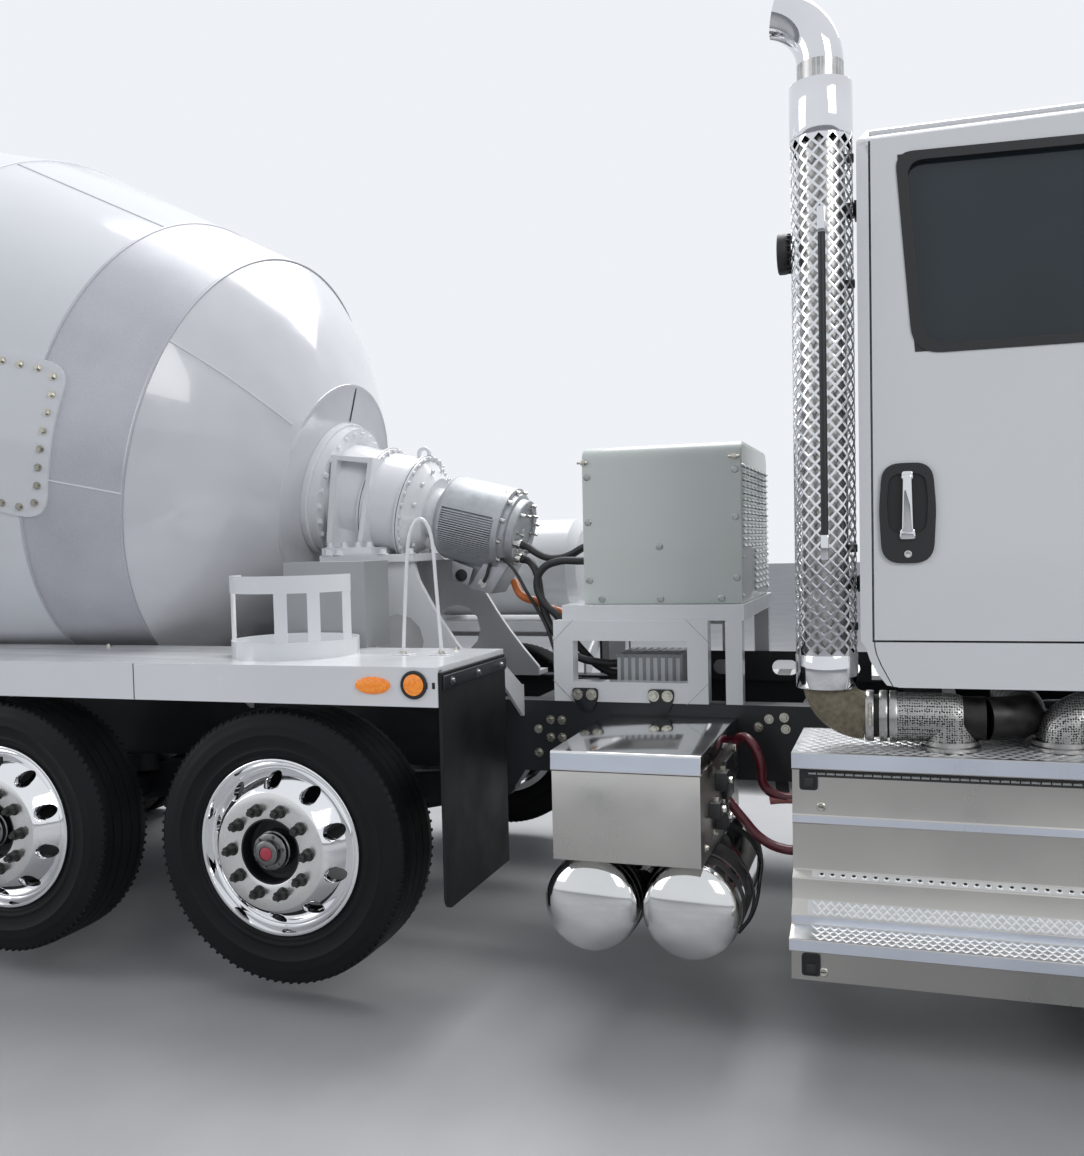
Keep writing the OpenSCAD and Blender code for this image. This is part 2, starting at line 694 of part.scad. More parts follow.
// The space that a door's hinges turn in.
module hinge_space() for (z = hinge_zs) translate([hinge_x, hinge_y, z])
    cylinder(r = knuckle_r + 2, h = knuckle_h + 2 * ear_h + 8, center = true);

// The cab's half of a door's hinges: a pin between two ears.
module hinge_ears() for (z = hinge_zs) translate([hinge_x, hinge_y, z]) {
    cylinder(r = door_pin_r, h = knuckle_h + 2 * ear_h, center = true);
    for (s = [-1, 1]) translate([0, 0, s * (knuckle_h / 2 + 2 + ear_h / 2)]) {
        cylinder(r = knuckle_r, h = ear_h, center = true);
        translate([0, -14, -ear_h / 2]) cube([50, 20, ear_h]);
    }
}

module cab_shell() color("#f2f3f3") union() {
    difference() {
        cab_panels();
        both_sides() hinge_space();
    }
    both_sides() hinge_ears();
}

module cab_panels() {
    difference() {
        cab_body(0);
        cab_body(wall);
        both_sides() along_y(cab_half_w - wall - eps, wall + 2 * eps) door_outline(panel_gap);
        along_y(-screen_half_w, 2 * screen_half_w) polygon([
            [ws_base_x - 200, screen_z0], [ws_base_x + 200, screen_z0],
            [ws_top_x + 260, screen_z1], [ws_top_x - 190, screen_z1]]);
        translate([cab_rear_x - eps, -rear_window_w / 2, rear_window_z])
            cube([wall + 2 * eps, rear_window_w, rear_window_h]);
    }
}

// Station of the windscreen's outer face at height z.
function screen_x(z) = ws_base_x - (z - cowl_z) * (ws_base_x - ws_top_x) / (roof_z - cowl_z);

module cab_glass() {
    low = screen_z0 + seat;
    high = screen_z1 - seat;
    depth = glass_t / cos(atan2(ws_base_x - ws_top_x, roof_z - cowl_z));
    inset = 30;
    color([0.2, 0.25, 0.3, 0.5]) {
        along_y(-screen_half_w + seat, 2 * screen_half_w - 2 * seat) polygon([
            [screen_x(low) - inset - depth, low], [screen_x(low) - inset, low],
            [screen_x(high) - inset, high], [screen_x(high) - inset - depth, high]]);
        translate([cab_rear_x + 20, -rear_window_w / 2 + seat, rear_window_z + seat])
            cube([glass_t, rear_window_w - 2 * seat, rear_window_h - 2 * seat]);
    }
}

// A tall mirror head on two arms from the door's frame.
module door_mirror() {
    head_y = cab_half_w + 120;
    translate([3530, head_y, 1980]) cube([60, 190, 440]);
    for (z = [2020, 2380]) rod_between([3475, cab_half_w - 10, z], [3560, head_y + 20, z], 14);
}

module door(side) mirror([0, side > 0 ? 0 : 1, 0]) color("#f2f3f3") difference() {
    union() {
        difference() {
            along_y(cab_half_w - wall, wall) door_outline(0);
            along_y(cab_half_w - wall - eps, wall + 2 * eps) window_outline(0);
            hinge_space();
        }
        for (z = hinge_zs) translate([hinge_x, hinge_y, z]) {
            cylinder(r = knuckle_r, h = knuckle_h, center = true);
            translate([-50, -10, -knuckle_h / 2]) cube([50, 16, knuckle_h]);
        }
        door_mirror();
    }
    translate([hinge_x, hinge_y, door_z]) cylinder(r = door_pin_r + 0.5, h = door_top - door_z);
}

module door_glass(side) {
    y = side > 0 ? cab_half_w - wall / 2 : -cab_half_w + wall / 2 - glass_t;
    color([0.2, 0.25, 0.3, 0.5]) along_y(y, glass_t) window_outline(seat);
}

module cab_interior() {
    floor_z = cab_z + wall;
    color("#3a3b3e") {
        both_sides() along_y(260, 480) polygon([
            [2620, floor_z], [3120, floor_z], [3120, floor_z + 260], [3160, floor_z + 420],
            [2780, floor_z + 380], [2640, floor_z + 1000], [2560, floor_z + 1000], [2640, floor_z + 300]]);
        along_y(-cab_half_w + wall + 5, 2 * (cab_half_w - wall - 5)) polygon([
            [firewall_x - wall, 1560], [firewall_x - wall, cowl_z - wall - 5], [3700, cowl_z - 75],
            [3560, 1800], [3560, 1620]]);
        translate([3480, 500, 1820]) rotate([0, 60, 0]) {
            rotate_extrude() translate([215, 0]) circle(r = 16, $fn = 24);
            cylinder(r = 30, h = 60, center = true);
            for (a = [30, 150, 270]) rotate([0, 0, a]) translate([0, -12, -8]) cube([210, 24, 16]);
            cylinder(r = 22, h = 160);
        }
    }
}

// Step boxes, tanks and tool box on the frame's sides

module step_section() polygon([
    [rail_y + seat, 700], [rail_y + seat, 900], [700, 900], [700, 942], [1130, 942], [1130, 911], [1110,
        911],
    [1110, 611], [1150, 611], [1150, 590], [1150, 523], [1190, 523], [1190, 430], [1255, 430], [1255, 400],
    [1195, 400], [1195, 295], [720, 295], [720, 700]]);

// The step boxes of both sides, and the tool box on the right.
module side_boxes() color("#c9cccf") {
    back = rail_y + seat;
    both_sides() along_x(steps_x, steps_l) step_section();
    along_x(toolbox_x, toolbox_l) polygon([
        [-back, toolbox_z], [-1200, toolbox_z], [-1200, 874], [-1150, 934], [-back, 925]]);
}

module tanks() {
    fuel_r = 300;
    air_z = toolbox_z - seat - air_tank_r;
    color("#c9cccf") {
        for (x = [toolbox_x + 102, toolbox_x + 412]) at_wheel(x, 1200 - air_tank_l, air_z, -1) air_tank();
        translate([1420, 900, 640]) rotate([0, 90, 0]) cylinder(r = fuel_r, h = 760);
        for (x = [1560, 2000]) translate([x, rail_y + seat, 760]) cube([60, 250, 60]);
    }
}

// A tank about its own Z with bulged ends.
module air_tank() rotate_extrude() polygon(concat([[0, 0]], [[air_tank_r - 40, 0], [air_tank_r, 40]],
    [[air_tank_r, air_tank_l - 40], [air_tank_r - 12, air_tank_l - 14], [air_tank_r - 45, air_tank_l - 4],
    [0, air_tank_l]]));

// Exhaust stack with heat shield

inlet_z = 1035;      // height of the pipe under the cab
inlet_bend = 110;

// The wrapped bend under the stack, and the pipe that runs forward and in to the frame.
module exhaust_inlet(pipe_r) {
    run = 330;
    translate([inlet_bend, 0, inlet_z + inlet_bend]) rotate([90, 180, 0])
        rotate_extrude(angle = 90) translate([inlet_bend, 0]) circle(r = pipe_r + 6);
    translate([inlet_bend - eps, 0, inlet_z]) rotate([0, 90, 0]) cylinder(r = pipe_r - 4, h = run + eps);
    translate([inlet_bend + 30, 0, inlet_z]) rotate([0, 90, 0]) cylinder(r = pipe_r + 8, h = 34);
    translate([inlet_bend + run - eps, inlet_bend, inlet_z]) rotate([0, 0, -90])
        rotate_extrude(angle = 90) translate([inlet_bend, 0]) circle(r = pipe_r - 4);
    translate([2 * inlet_bend + run - eps, inlet_bend, inlet_z]) rotate([-90, 0, 0])
        cylinder(r = pipe_r - 4, h = stack_y - inlet_bend - rail_y - 20);
}

module exhaust_stack() {
    pipe_r = 67;
    shield_z = 1119;
    shield_top = 2877;
    bend_r = 170;
    stand_off = 112;
    color("silver") translate([stack_x, -stack_y, 0]) {
        union() {
            translate([0, 0, inlet_z + inlet_bend]) cylinder(r = pipe_r,
                h = shield_top + 60 - inlet_z - inlet_bend);
            for (z = [shield_z, shield_top - 30]) translate([0, 0, z]) difference() {
                cylinder(r = shield_r, h = 30);
                translate([0, 0, -eps]) cylinder(r = pipe_r - 2, h = 40);
                for (a = [0 : 90 : 270]) rotate([0, 0, a]) translate([pipe_r + 4, -15, -eps]) cube([13,
                    30, 40]);
            }
            difference() {
                translate([0, 0, shield_z]) cylinder(r = shield_r, h = shield_top - shield_z);
                translate([0, 0, shield_z - eps]) cylinder(r = shield_r - 3, h = shield_top);
            }
            translate([-bend_r, 0, shield_top + 60]) rotate([90, 0, 0]) rotate_extrude(angle = 75)
                translate([bend_r, 0]) circle(r = pipe_r);
            exhaust_inlet(pipe_r);
            translate([6, -stand_off, 1500]) cylinder(r = 12, h = 1000);
            for (z = [1500, 2470]) translate([-6, -stand_off - 12, z]) cube([24,
                stand_off - shield_r + 16, 30]);
            translate([20, 30, 1400]) cube([cab_rear_x - stack_x - 20 - seat, 60, 50]);
            translate([20, 30, 2500]) cube([cab_rear_x - stack_x - 20 - seat, 60, 50]);
        }
    }
}

// Power cabinet and its stand

stand_top = rail_top + stand_h;
fuse_box_x = 1516;   // rear face of the ribbed box that stands under the cabinet

module power_cabinet() {
    top_r = 60;
    color("#e9ebea") along_x(cabinet_x, cabinet_l) translate([0, stand_top + seat]) union() {
        translate([-cabinet_w / 2, 0]) square([cabinet_w, cabinet_h - top_r]);
        translate([-cabinet_w / 2 + top_r, 0]) square([cabinet_w - 2 * top_r, cabinet_h]);
        for (s = [-1, 1]) translate([s * (cabinet_w / 2 - top_r), cabinet_h - top_r]) circle(r = top_r);
    }
}

module cabinet_stand() {
    frame_x = cabinet_x - 106;
    frame_l = 582;
    frame_h = 303;
    bar = 75;
    color("#f2f3f3") union() {
        both_sides() along_y(rail_y - 60, 68) difference() {
            translate([frame_x, rail_top + seat]) square([frame_l, frame_h]);
            translate([frame_x + bar, rail_top + bar]) square([frame_l - 2 * bar, frame_h - 2 * bar]);
        }
        translate([cabinet_x - 72, -rail_y, rail_top + frame_h]) cube([cabinet_l + 80, 2 * rail_y,
            stand_h - frame_h]);
        both_sides() translate([cabinet_x + cabinet_l - 60, rail_y - 60, rail_top + seat])
            cube([60, 60, stand_h - 10]);
        translate([fuse_box_x - 20, -rail_y + 30, rail_top + seat]) cube([230, 2 * rail_y - 60, 30]);
        translate([fuse_box_x, -300, rail_top + 30 - eps]) cube([255, 260, 135]);
    }
}

// Decks over the wheels, mud flaps

module decks() {
    l = deck_front_x - deck_rear_x;
    color("#f2f3f3") both_sides() union() {
        along_x(deck_rear_x, l) polygon([
            [deck_inner_y, deck_top], [deck_y, deck_top], [deck_y, deck_top - deck_lip],
            [deck_y - deck_t, deck_top - deck_lip], [deck_y - deck_t, deck_top - deck_t],
            [deck_inner_y + deck_t, deck_top - deck_t], [deck_inner_y + deck_t, deck_top - 50],
            [deck_inner_y, deck_top - 50]]);
        for (x = [deck_front_x - 12, pusher_front_x - 588, -1230, -2530, deck_rear_x])
            along_x(x, 12) polygon([[rail_y + seat, rail_top - 60], [rail_y + 12, rail_top - 60],
                [deck_inner_y + 100, deck_top - 60], [deck_y - 40, deck_top - 40], [deck_y - 40,
                    deck_top - eps],
                [deck_inner_y + eps, deck_top - eps], [deck_inner_y + eps, deck_top - 50],
                [rail_y + 20, rail_top + 60], [rail_y + seat, rail_top + 60]]);
    }
    color("#f2f3f3") {
        bucket_holder();
        translate([299, -672, deck_top - eps]) cube([345, 200, 326]);
        cable([[890, -870, deck_top - eps], [906, -870, 1420], [925, -870, 1600], [968, -870, 1660],
            [1008, -870, 1600], [1022, -870, 1420], [1037, -870, deck_top - eps]], 6.5);
        water_tank();
    }
}

// A half ring on four posts over a full ring that stands on the right deck.
module bucket_holder() translate([484, -903, deck_top - eps]) {
    ring_r = 225;
    band_t = 6;
    linear_extrude(60) difference() { circle(r = ring_r); circle(r = ring_r - band_t); }
    translate([0, 0, 228]) linear_extrude(60) difference() {
        circle(r = ring_r);
        circle(r = ring_r - band_t);
        translate([-ring_r - eps, 0]) square(2 * ring_r + 2 * eps);
    }
    for (a = [-160, -72, -43, -6]) rotate([0, 0, a]) translate([ring_r - band_t - 2, -22,
        0]) cube([band_t, 44, 280]);
}

// A round water tank on the left deck, lying on two saddles.
module water_tank() {
    tank_r = 240;
    tank_y = 930;
    tank_z = deck_top + tank_r + 12;
    translate([150, tank_y, tank_z]) rotate([0, 90, 0]) rotate_extrude() polygon([[0, 0], [tank_r - 50, 0],
        [tank_r, 40], [tank_r, 860], [tank_r - 50, 900], [0, 900]]);
    for (x = [260, 880]) along_x(x, 60) polygon([[tank_y - 200, deck_top - eps], [tank_y + 200,
        deck_top - eps],
        [tank_y + 160, tank_z - 150], [tank_y - 160, tank_z - 150]]);
}

module mud_flaps() {
    color("#202124") both_sides() for (x = [deck_front_x + seat, deck_rear_x - 12 - seat])
        along_x(x, 12) translate([deck_inner_y + 20, 420]) difference() {
            square([570, 750]);
            translate([530, 0]) difference() { square([41, 40]); translate([0, 40]) circle(r = 40); }
        }
}

// Front pedestal, gearbox and motor

// Puts a piece in the drum's own frame: Z runs up the axis from the front flange, and -X is down.
module drum_place() translate([drum_x, 0, drum_z]) rotate([0, drum_tilt - 90, 0]) children();

// The space under the drum drive that the pedestal's top leaves free.
module drive_space() drum_place() mirror([0, 0, 1]) {
    translate([0, 0, 100]) cylinder(r = gearbox_r + 24, h = 402);
    translate([0, 0, 480]) cylinder(r = motor_r + 6, h = motor_len + 60);
}

module front_pedestal() {
    plate_y = 300;
    plate_t = 24;
    top_rear = 300;
    top_front = 680;
    foot = 997;
    color("#eceeee") difference() { union() {
        both_sides() along_y(plate_y, plate_t) difference() {
            polygon(concat([[top_rear, pedestal_top - 20], [top_rear + 120, rail_top + seat], [foot,
                rail_top + seat],
                [foot, rail_top + 40]], [for (i = [1 : 5]) [foot - 330 * i / 6 * (1.35 - 0.35 * i / 6),
                rail_top + 40 + 500 * i / 6]], [[top_front, pedestal_top - 20]]));
            polygon(arc(610, 1180, 110, 0, 330, 11));
        }
        translate([top_rear - 20, -plate_y - 60, pedestal_top - 30]) cube([top_front - top_rear + 40,
            2 * plate_y + 120, 30]);
        translate([top_rear + 120, -plate_y - eps, rail_top + 120]) cube([20, 2 * plate_y + 2 * eps,
            pedestal_top - rail_top - 140]);
        both_sides() translate([top_rear + 120, plate_y, rail_top + seat]) cube([foot - top_rear - 120,
            rail_y - plate_y, 20]);
    }
        drive_space();
    }
}

module gearbox() {
    foot_z = pedestal_top + seat;
    side_y = 230;
    pocket_d = 70;
    color("#eceeee") union() {
        drum_place() mirror([0, 0, 1]) {
            cylinder(r = 285, h = 40);
            translate([0, 0, 40 - eps]) cylinder(r = 215, h = 130);
            translate([0, 0, 160]) cylinder(r = gearbox_r, h = 230 + eps);
            for (z = [200, 372]) translate([0, 0, z]) cylinder(r = gearbox_r + 18, h = 22);
            translate([0, 0, 390]) cylinder(r1 = gearbox_r, r2 = 150, h = 70);
            translate([0, 0, 460 - eps]) cylinder(r = 110, h = 42 + eps);
        }
        difference() {
            along_y(-side_y, 2 * side_y) polygon([[279, 1954], [470, 1933], [399, foot_z], [243, foot_z],
                [243, 1607]]);
            both_sides() along_y(side_y - pocket_d, pocket_d + eps) polygon([[303, 1932], [446, 1914],
                [384, foot_z + 34], [268, foot_z + 34], [268, 1610]]);
            drive_clear();
        }
        difference() {
            translate([246, -side_y - 50, foot_z]) cube([230, 2 * side_y + 100, 30]);
            drive_clear();
        }
        translate([600, 0, 1900]) cylinder(r = 14, h = 40);
        translate([600, 0, 1958]) rotate([90, 0, 0]) rotate_extrude() translate([24, 0]) circle(r = 9,
            $fn = 24);
    }
}

// Keeps the bracket in front of the drum's flange.
module drive_clear() drum_place() translate([0, 0, -seat]) cylinder(r = 400, h = 300);

motor_s = 502 + seat;  // distance of the motor's rear end from the drum's flange
// The terminal box under the motor. Columns: height over the motor's axis, distance from its rear end.
terminal_foot = [[-130, 258], [-130, 360], [-271, 309], [-271, 205]];

module drive_motor() {
    fins = 24;
    color("#b9bcbd") union() {
        drum_place() mirror([0, 0, 1]) translate([0, 0, motor_s]) {
        rotate([90, 0, 0]) linear_extrude(180, center = true) polygon(terminal_foot);
        cylinder(r = 125, h = 30);
        translate([0, 0, 20]) cylinder(r = motor_r - 22, h = motor_len - 40);
        for (i = [0 : fins - 1]) rotate([0, 0, 360 / fins * i]) translate([0, -5, 50])
            cube([motor_r, 10, motor_len - 120]);
        translate([0, 0, motor_len - 60]) cylinder(r = motor_r, h = 26);
        translate([0, 0, motor_len - 34 - eps]) cylinder(r = motor_r - 40, h = 34);
        }
    }
}

// Drum

// Columns: distance from the flange along the axis, outer radius of the shell.
drum_profile = [[28, 461], [220, 743], [408, 936], [800, 1030], [1550, belly_r], [2250, belly_r],
    [drum_len, mouth_r]];

function shell_r(s) = let (i = [for (k = [0 : len(drum_profile) - 2]) if (drum_profile[k][0] <= s) k],
    a = drum_profile[i[len(i) - 1]], b = drum_profile[i[len(i) - 1] + 1])
    a[1] + (b[1] - a[1]) * (s - a[0]) / (b[0] - a[0]);
shell_at_track = shell_r(track_s);
track_r = shell_at_track + track_h;
hatch = [690, 1190];   // front and rear edge of the hatch along the axis
hatch_half_w = 300;

// World X and Z of the point x across the drum's axis at distance s from the flange.
function drum_point(x, s) = [drum_x - s * cos(drum_tilt) + x * sin(drum_tilt),
    drum_z + s * sin(drum_tilt) + x * cos(drum_tilt)];

module drum() {
    n = len(drum_profile) - 1;
    track_half = 55;
    color("#eff0f0") drum_place() union() {
        rotate_extrude($fn = 96) polygon(concat(
            [[0, 28]], [for (p = drum_profile) [p[1], p[0]]],
            [for (i = [n : -1 : 1]) [drum_profile[i][1] - shell_t - (i == 1 ? 6 : 0), drum_profile[i][0]]],
            [[461 - 20, 28 + 26], [0, 28 + 26]]));
        translate([0, 0, seat]) cylinder(r = 300, h = 28);
        rotate_extrude($fn = 96) polygon([
            [shell_at_track - 14, track_s - track_half], [track_r, track_s - track_half],
            [track_r, track_s + track_half], [shell_at_track - 14, track_s + track_half]]);
        intersection() {
            rotate_extrude($fn = 96) polygon([[shell_r(hatch[0]) - 2, hatch[0]], [shell_r(hatch[0]) + 10,
                hatch[0]],
                [shell_r(800) + 10, 800], [shell_r(hatch[1]) + 10, hatch[1]], [shell_r(hatch[1]) - 2,
                    hatch[1]],
                [shell_r(800) - 2, 800]]);
            translate([0, 0, (hatch[0] + hatch[1]) / 2]) rotate([90, 0, 0]) linear_extrude(belly_r + 100)
                offset(r = 90) square([2 * hatch_half_w - 180, hatch[1] - hatch[0] - 180], center = true);
        }
    }
}

// Rear pedestal, rollers and hoppers

roller_reach = track_r + seat + roller_r;

module roller_place(side) drum_place()
    translate([-roller_reach * cos(roller_angle), side * roller_reach * sin(roller_angle),
        track_s]) children();

module roller(side) {
    color("#5a5c60") roller_place(side) difference() {
        cylinder(r = roller_r, h = roller_w, center = true);
        cylinder(r = 35.5, h = roller_w + 2, center = true);
    }
}

roller_pos = drum_point(-roller_reach * cos(roller_angle), track_s);
post_x = roller_pos.x - 173;
beam_z = roller_pos.y - 276;
post_top = 2900;
mouth = drum_point(0, drum_len);
upright_top_x = mouth.x - 110;   // front edge of the uprights at their top, beside the drum's mouth
post_y = 640;        // inner face of the uprights

module rear_pedestal() {
    color("#eceeee") union() {
        for (side = [-1, 1]) {
            roller_place(side) cylinder(r = 35, h = roller_w + 100, center = true);
            for (s = [-1, 1]) roller_place(side) translate([-90, 0, s * (roller_w / 2 + 26)])
                cube([250, 150, 30], center = true);
            roller_place(side) translate([-230, 0, 0]) cube([60, 220, roller_w + 82], center = true);
            along_y(side > 0 ? 372 : -432, 60) polygon([
                [post_x - 160, rail_top + seat], [post_x + 400, rail_top + seat], [post_x + 260,
                    beam_z + 60],
                [post_x, beam_z + 60]]);
        }
        translate([post_x, -post_y - 60, beam_z]) cube([260, 2 * post_y + 120, 60]);
        for (side = [-1, 1]) along_y(side > 0 ? post_y : -post_y - 60, 60) polygon([
            [post_x - 60, beam_z], [post_x + 60, beam_z], [upright_top_x, post_top],
            [upright_top_x - 100, post_top]]);
        ladder();
    }
}

// The ladder and the platform with its rail on the left, for washing out the hopper.
module ladder() {
    foot = [post_x - 290, deck_top + seat];
    head = [upright_top_x - 130, post_top - 40];
    near_y = 760;
    far_y = 1060;
    rungs = 6;
    rail_h = 650;
    for (y = [near_y, far_y]) rod_between([foot.x, y, foot.y + 8], [head.x, y, head.y], 20);
    for (y = [near_y, far_y]) translate([foot.x - 40, y - 30, foot.y]) cube([80, 60, 14]);
    for (i = [1 : rungs]) let (p = foot + (head - foot) * i / (rungs + 1))
        translate([p.x, near_y, p.y]) rotate([-90, 0, 0]) cylinder(r = 14, h = far_y - near_y, $fn = 24);
    translate([head.x - 180, post_y + 55, post_top - 50]) cube([450, far_y - post_y - 35, 30]);
    for (x = [head.x - 160, head.x + 250]) translate([x, far_y, post_top - 30]) cylinder(r = 16,
        h = rail_h, $fn = 24);
    for (z = [rail_h / 2, rail_h]) translate([head.x - 160, far_y, post_top - 30 + z]) rotate([0, 90, 0])
        cylinder(r = 16, h = 410, $fn = 24);
}

module funnel(low, high, t) difference() {
    hull() { translate(low[0]) cube(low[1]); translate(high[0]) cube(high[1]); }
    hull() {
        translate(low[0] + [t, t, -eps]) cube(low[1] - [2 * t, 2 * t, -eps]);
        translate(high[0] + [t, t, 0]) cube(high[1] - [2 * t, 2 * t, -2 * eps]);
    }
}

hopper_z = mouth.y + 77;
hopper_h = 980;
hopper_t = 8;
collector_z = 1700;
collector_top = 2150;
collector_arm_x = swing_x + 340;

// Front edge of the uprights at height z.
function upright_x(z) = post_x + 60 + (upright_top_x - post_x - 60) * (z - beam_z) / (post_top - beam_z);

module hoppers() {
    color("#eceeee") union() {
        funnel([[mouth.x - 171, -200, hopper_z], [260, 400, 10]],
            [[mouth.x - 921, -480, hopper_z + hopper_h], [880, 960, 10]], hopper_t);
        both_sides() translate([upright_top_x - 95, 206, post_top - 30])
            cube([80, post_y - seat - 206, 50]);
    }
    color("#eceeee") union() {
        funnel([[swing_x - 150, -170, collector_z], [300, 340, 10]],
            [[swing_x - 230, -480, collector_top], [640, 960, 10]], hopper_t);
        both_sides() translate([collector_arm_x, 470, collector_top - 30])
            cube([upright_x(collector_top) - 20 - collector_arm_x, post_y - seat - 470, 40]);
    }
}

// Discharge chutes

yoke_z = 1120;
yoke_y = 246;
yoke_t = 24;
trunnion_r = 25;
lift_base = [swing_x - 110, post_z];                 // lower pin of the lift cylinder
lift_eye = [swing_x - 700, lift_z - 230];            // upper pin of the lift cylinder
lift_pin_r = 10;
lift_len = norm(lift_eye - lift_base);
lift_angle = atan2(lift_eye.x - lift_base.x, lift_eye.y - lift_base.y);
fold_x = -5308;      // station of the fold-over chute's hinge
fold_z = lift_z + 170;
fold_lug_r = 17;
chute_t = 8;

module chute_post() {
    color("#eceeee") difference() {
        union() {
            translate([swing_x, 0, post_z - 20]) cylinder(r = post_r, h = yoke_z - post_z + 20 + eps);
            translate([swing_x, 0, post_z + post_h + seat])
                cylinder(r = post_r + 22, h = yoke_z - post_z - post_h - seat + eps);
            translate([swing_x - 130, -yoke_y - yoke_t, yoke_z]) cube([220, 2 * (yoke_y + yoke_t), 24]);
            both_sides() along_y(yoke_y, yoke_t) polygon([
                [swing_x - 130, yoke_z], [swing_x + 90, yoke_z], [swing_x + 50, lift_z + 45],
                [swing_x - 50, lift_z + 45]]);
            both_sides() along_y(42, 16) polygon([
                [swing_x - 130, yoke_z + 10], [swing_x - 80, yoke_z + 10], [lift_base.x + 30,
                    lift_base.y - 30],
                [lift_base.x - 30, lift_base.y - 30]]);
            at_wheel(lift_base.x, -58, lift_base.y, 1) cylinder(r = lift_pin_r, h = 116);
        }
        at_wheel(swing_x, -400, lift_z, 1) cylinder(r = trunnion_r + 0.5, h = 800);
    }
}

// A chute's trough along -X from the origin, open at the top.
module trough(l, r) rotate([0, -90, 0]) linear_extrude(l) difference() {
    union() { circle(r = r + chute_t); translate([0, -r - chute_t]) square([90, 2 * (r + chute_t)]); }
    circle(r = r);
    translate([0, -r]) square([r + 100, 2 * r]);
}

module main_chute() {
    top = lift_z + 150;
    color("#eceeee") difference() {
        union() {
            translate([swing_x + 150, 0, lift_z + 60]) trough(swing_x + 150 - fold_x - 6, chute_r);
            both_sides() at_wheel(swing_x, chute_r + 2, lift_z, 1) cylinder(r = trunnion_r,
                h = yoke_y + yoke_t - chute_r + 6);
            both_sides() along_y(chute_r + 4, 16) {
                translate([fold_x, fold_z]) circle(r = fold_lug_r);
                polygon([[fold_x, fold_z - 10], [fold_x + 20, fold_z + 10], [fold_x + 130, top - 10],
                    [fold_x + 110, top - 60], [fold_x + 10, top - 60]]);
            }
            both_sides() at_wheel(fold_x, chute_r + 4, fold_z, 1) cylinder(r = 10, h = 44);
            both_sides() along_y(25, 14) polygon([
                [lift_eye.x - 25, lift_eye.y - 22], [lift_eye.x + 25, lift_eye.y - 22],
                [lift_eye.x + 60, lift_z + 60 - chute_r - 4], [lift_eye.x - 60,
                    lift_z + 60 - chute_r - 4]]);
            at_wheel(lift_eye.x, -39, lift_eye.y, 1) cylinder(r = lift_pin_r, h = 78);
        }
        translate([swing_x + 151, 0, lift_z + 60]) rotate([0, -90, 0]) cylinder(r = chute_r, h = 1200);
    }
}

module fold_chute() {
    lug_y = chute_r + 26;
    color("#eceeee") difference() {
        union() {
            translate([fold_x + 6, 0, fold_z + 20 + 90]) rotate([0, 180, 0]) trough(fold_l, chute_r);
            both_sides() along_y(lug_y, 16) {
                translate([fold_x, fold_z]) circle(r = fold_lug_r);
                polygon([[fold_x - 10, fold_z + 10], [fold_x + 10, fold_z - 14], [fold_x + 140,
                    fold_z + 40],
                    [fold_x + 140, fold_z + 100], [fold_x + 70, fold_z + 100]]);
            }
            both_sides() translate([fold_x + 80, chute_r + 2, fold_z + 50]) cube([50, lug_y - chute_r, 40]);
        }
        both_sides() at_wheel(fold_x, chute_r, fold_z, 1) cylinder(r = 10.5, h = 60);
    }
}

lift_barrel_l = 370;

// Puts a piece in the lift cylinder's frame: Z runs from its lower pin to its upper pin.
module lift_place() translate([lift_base.x, 0, lift_base.y]) rotate([0, lift_angle, 0]) children();

module lift_barrel() {
    color("#5a5c60") lift_place() difference() {
        union() {
            translate([0, 0, 26]) cylinder(r = 34, h = lift_barrel_l - 26);
            rotate([90, 0, 0]) cylinder(r = 28, h = 60, center = true);
            translate([-20, -30, 0]) cube([40, 60, 40]);
        }
        rotate([90, 0, 0]) cylinder(r = lift_pin_r + 0.5, h = 70, center = true);
        translate([0, 0, 46]) cylinder(r = 18.5, h = lift_barrel_l);
    }
}

rod_start = lift_barrel_l - 75;

module lift_rod() {
    color("silver") lift_place() difference() {
        union() {
            translate([0, 0, rod_start]) cylinder(r = 18, h = lift_len - rod_start - 20);
            translate([0, 0, lift_len]) rotate([90, 0, 0]) cylinder(r = 34, h = 36, center = true);
        }
        translate([0, 0, lift_len]) rotate([90, 0, 0]) cylinder(r = 20, h = 40, center = true);
    }
}

// Cables from the drive motor to the power cabinet and to the frame

cable_r = 14;
cable_sides = 8;
motor_front = motor_s + motor_len - eps;

// World place of a point on the motor's front cap: y across, d below its middle, n in front of it.
function motor_cap(y, d, n) = [drum_x + (motor_front + n) * cos(drum_tilt) - d * sin(drum_tilt), y,
    drum_z - (motor_front + n) * sin(drum_tilt) - d * cos(drum_tilt)];

// Columns: the cable's points in X, Y, Z. The first runs from the motor to the cabinet, the second
// from the motor to the ribbed box, the third from the cabinet to the ribbed box.
cable_routes = [
    [motor_cap(-95, 40, seat), motor_cap(-95, 40, 48), [1131, -100, 1527], [1180, -105, 1506], [1236,
        -115, 1502],
        [1285, -125, 1514], [1355, -140, 1546], [cabinet_x - seat, -140, 1548]],
    [motor_cap(-60, 100, seat), motor_cap(-60, 100, 45), [1108, -90, 1481], [1138, -110, 1434],
        [1154, -120, 1353], [1173, -130, 1286], [1207, -150, 1226], [1310, -210, 1125],
        [1450, -235, 1092], [fuse_box_x - seat, -235, 1092]],
    [[cabinet_x - seat, -200, 1490], [1350, -200, 1491], [1248, -190, 1489], [1185, -185, 1460],
        [1159, -180, 1400], [1182, -180, 1333], [1243, -185, 1273], [1330, -180, 1150],
        [1450, -170, 1050], [fuse_box_x - seat, -170, 1048]]];

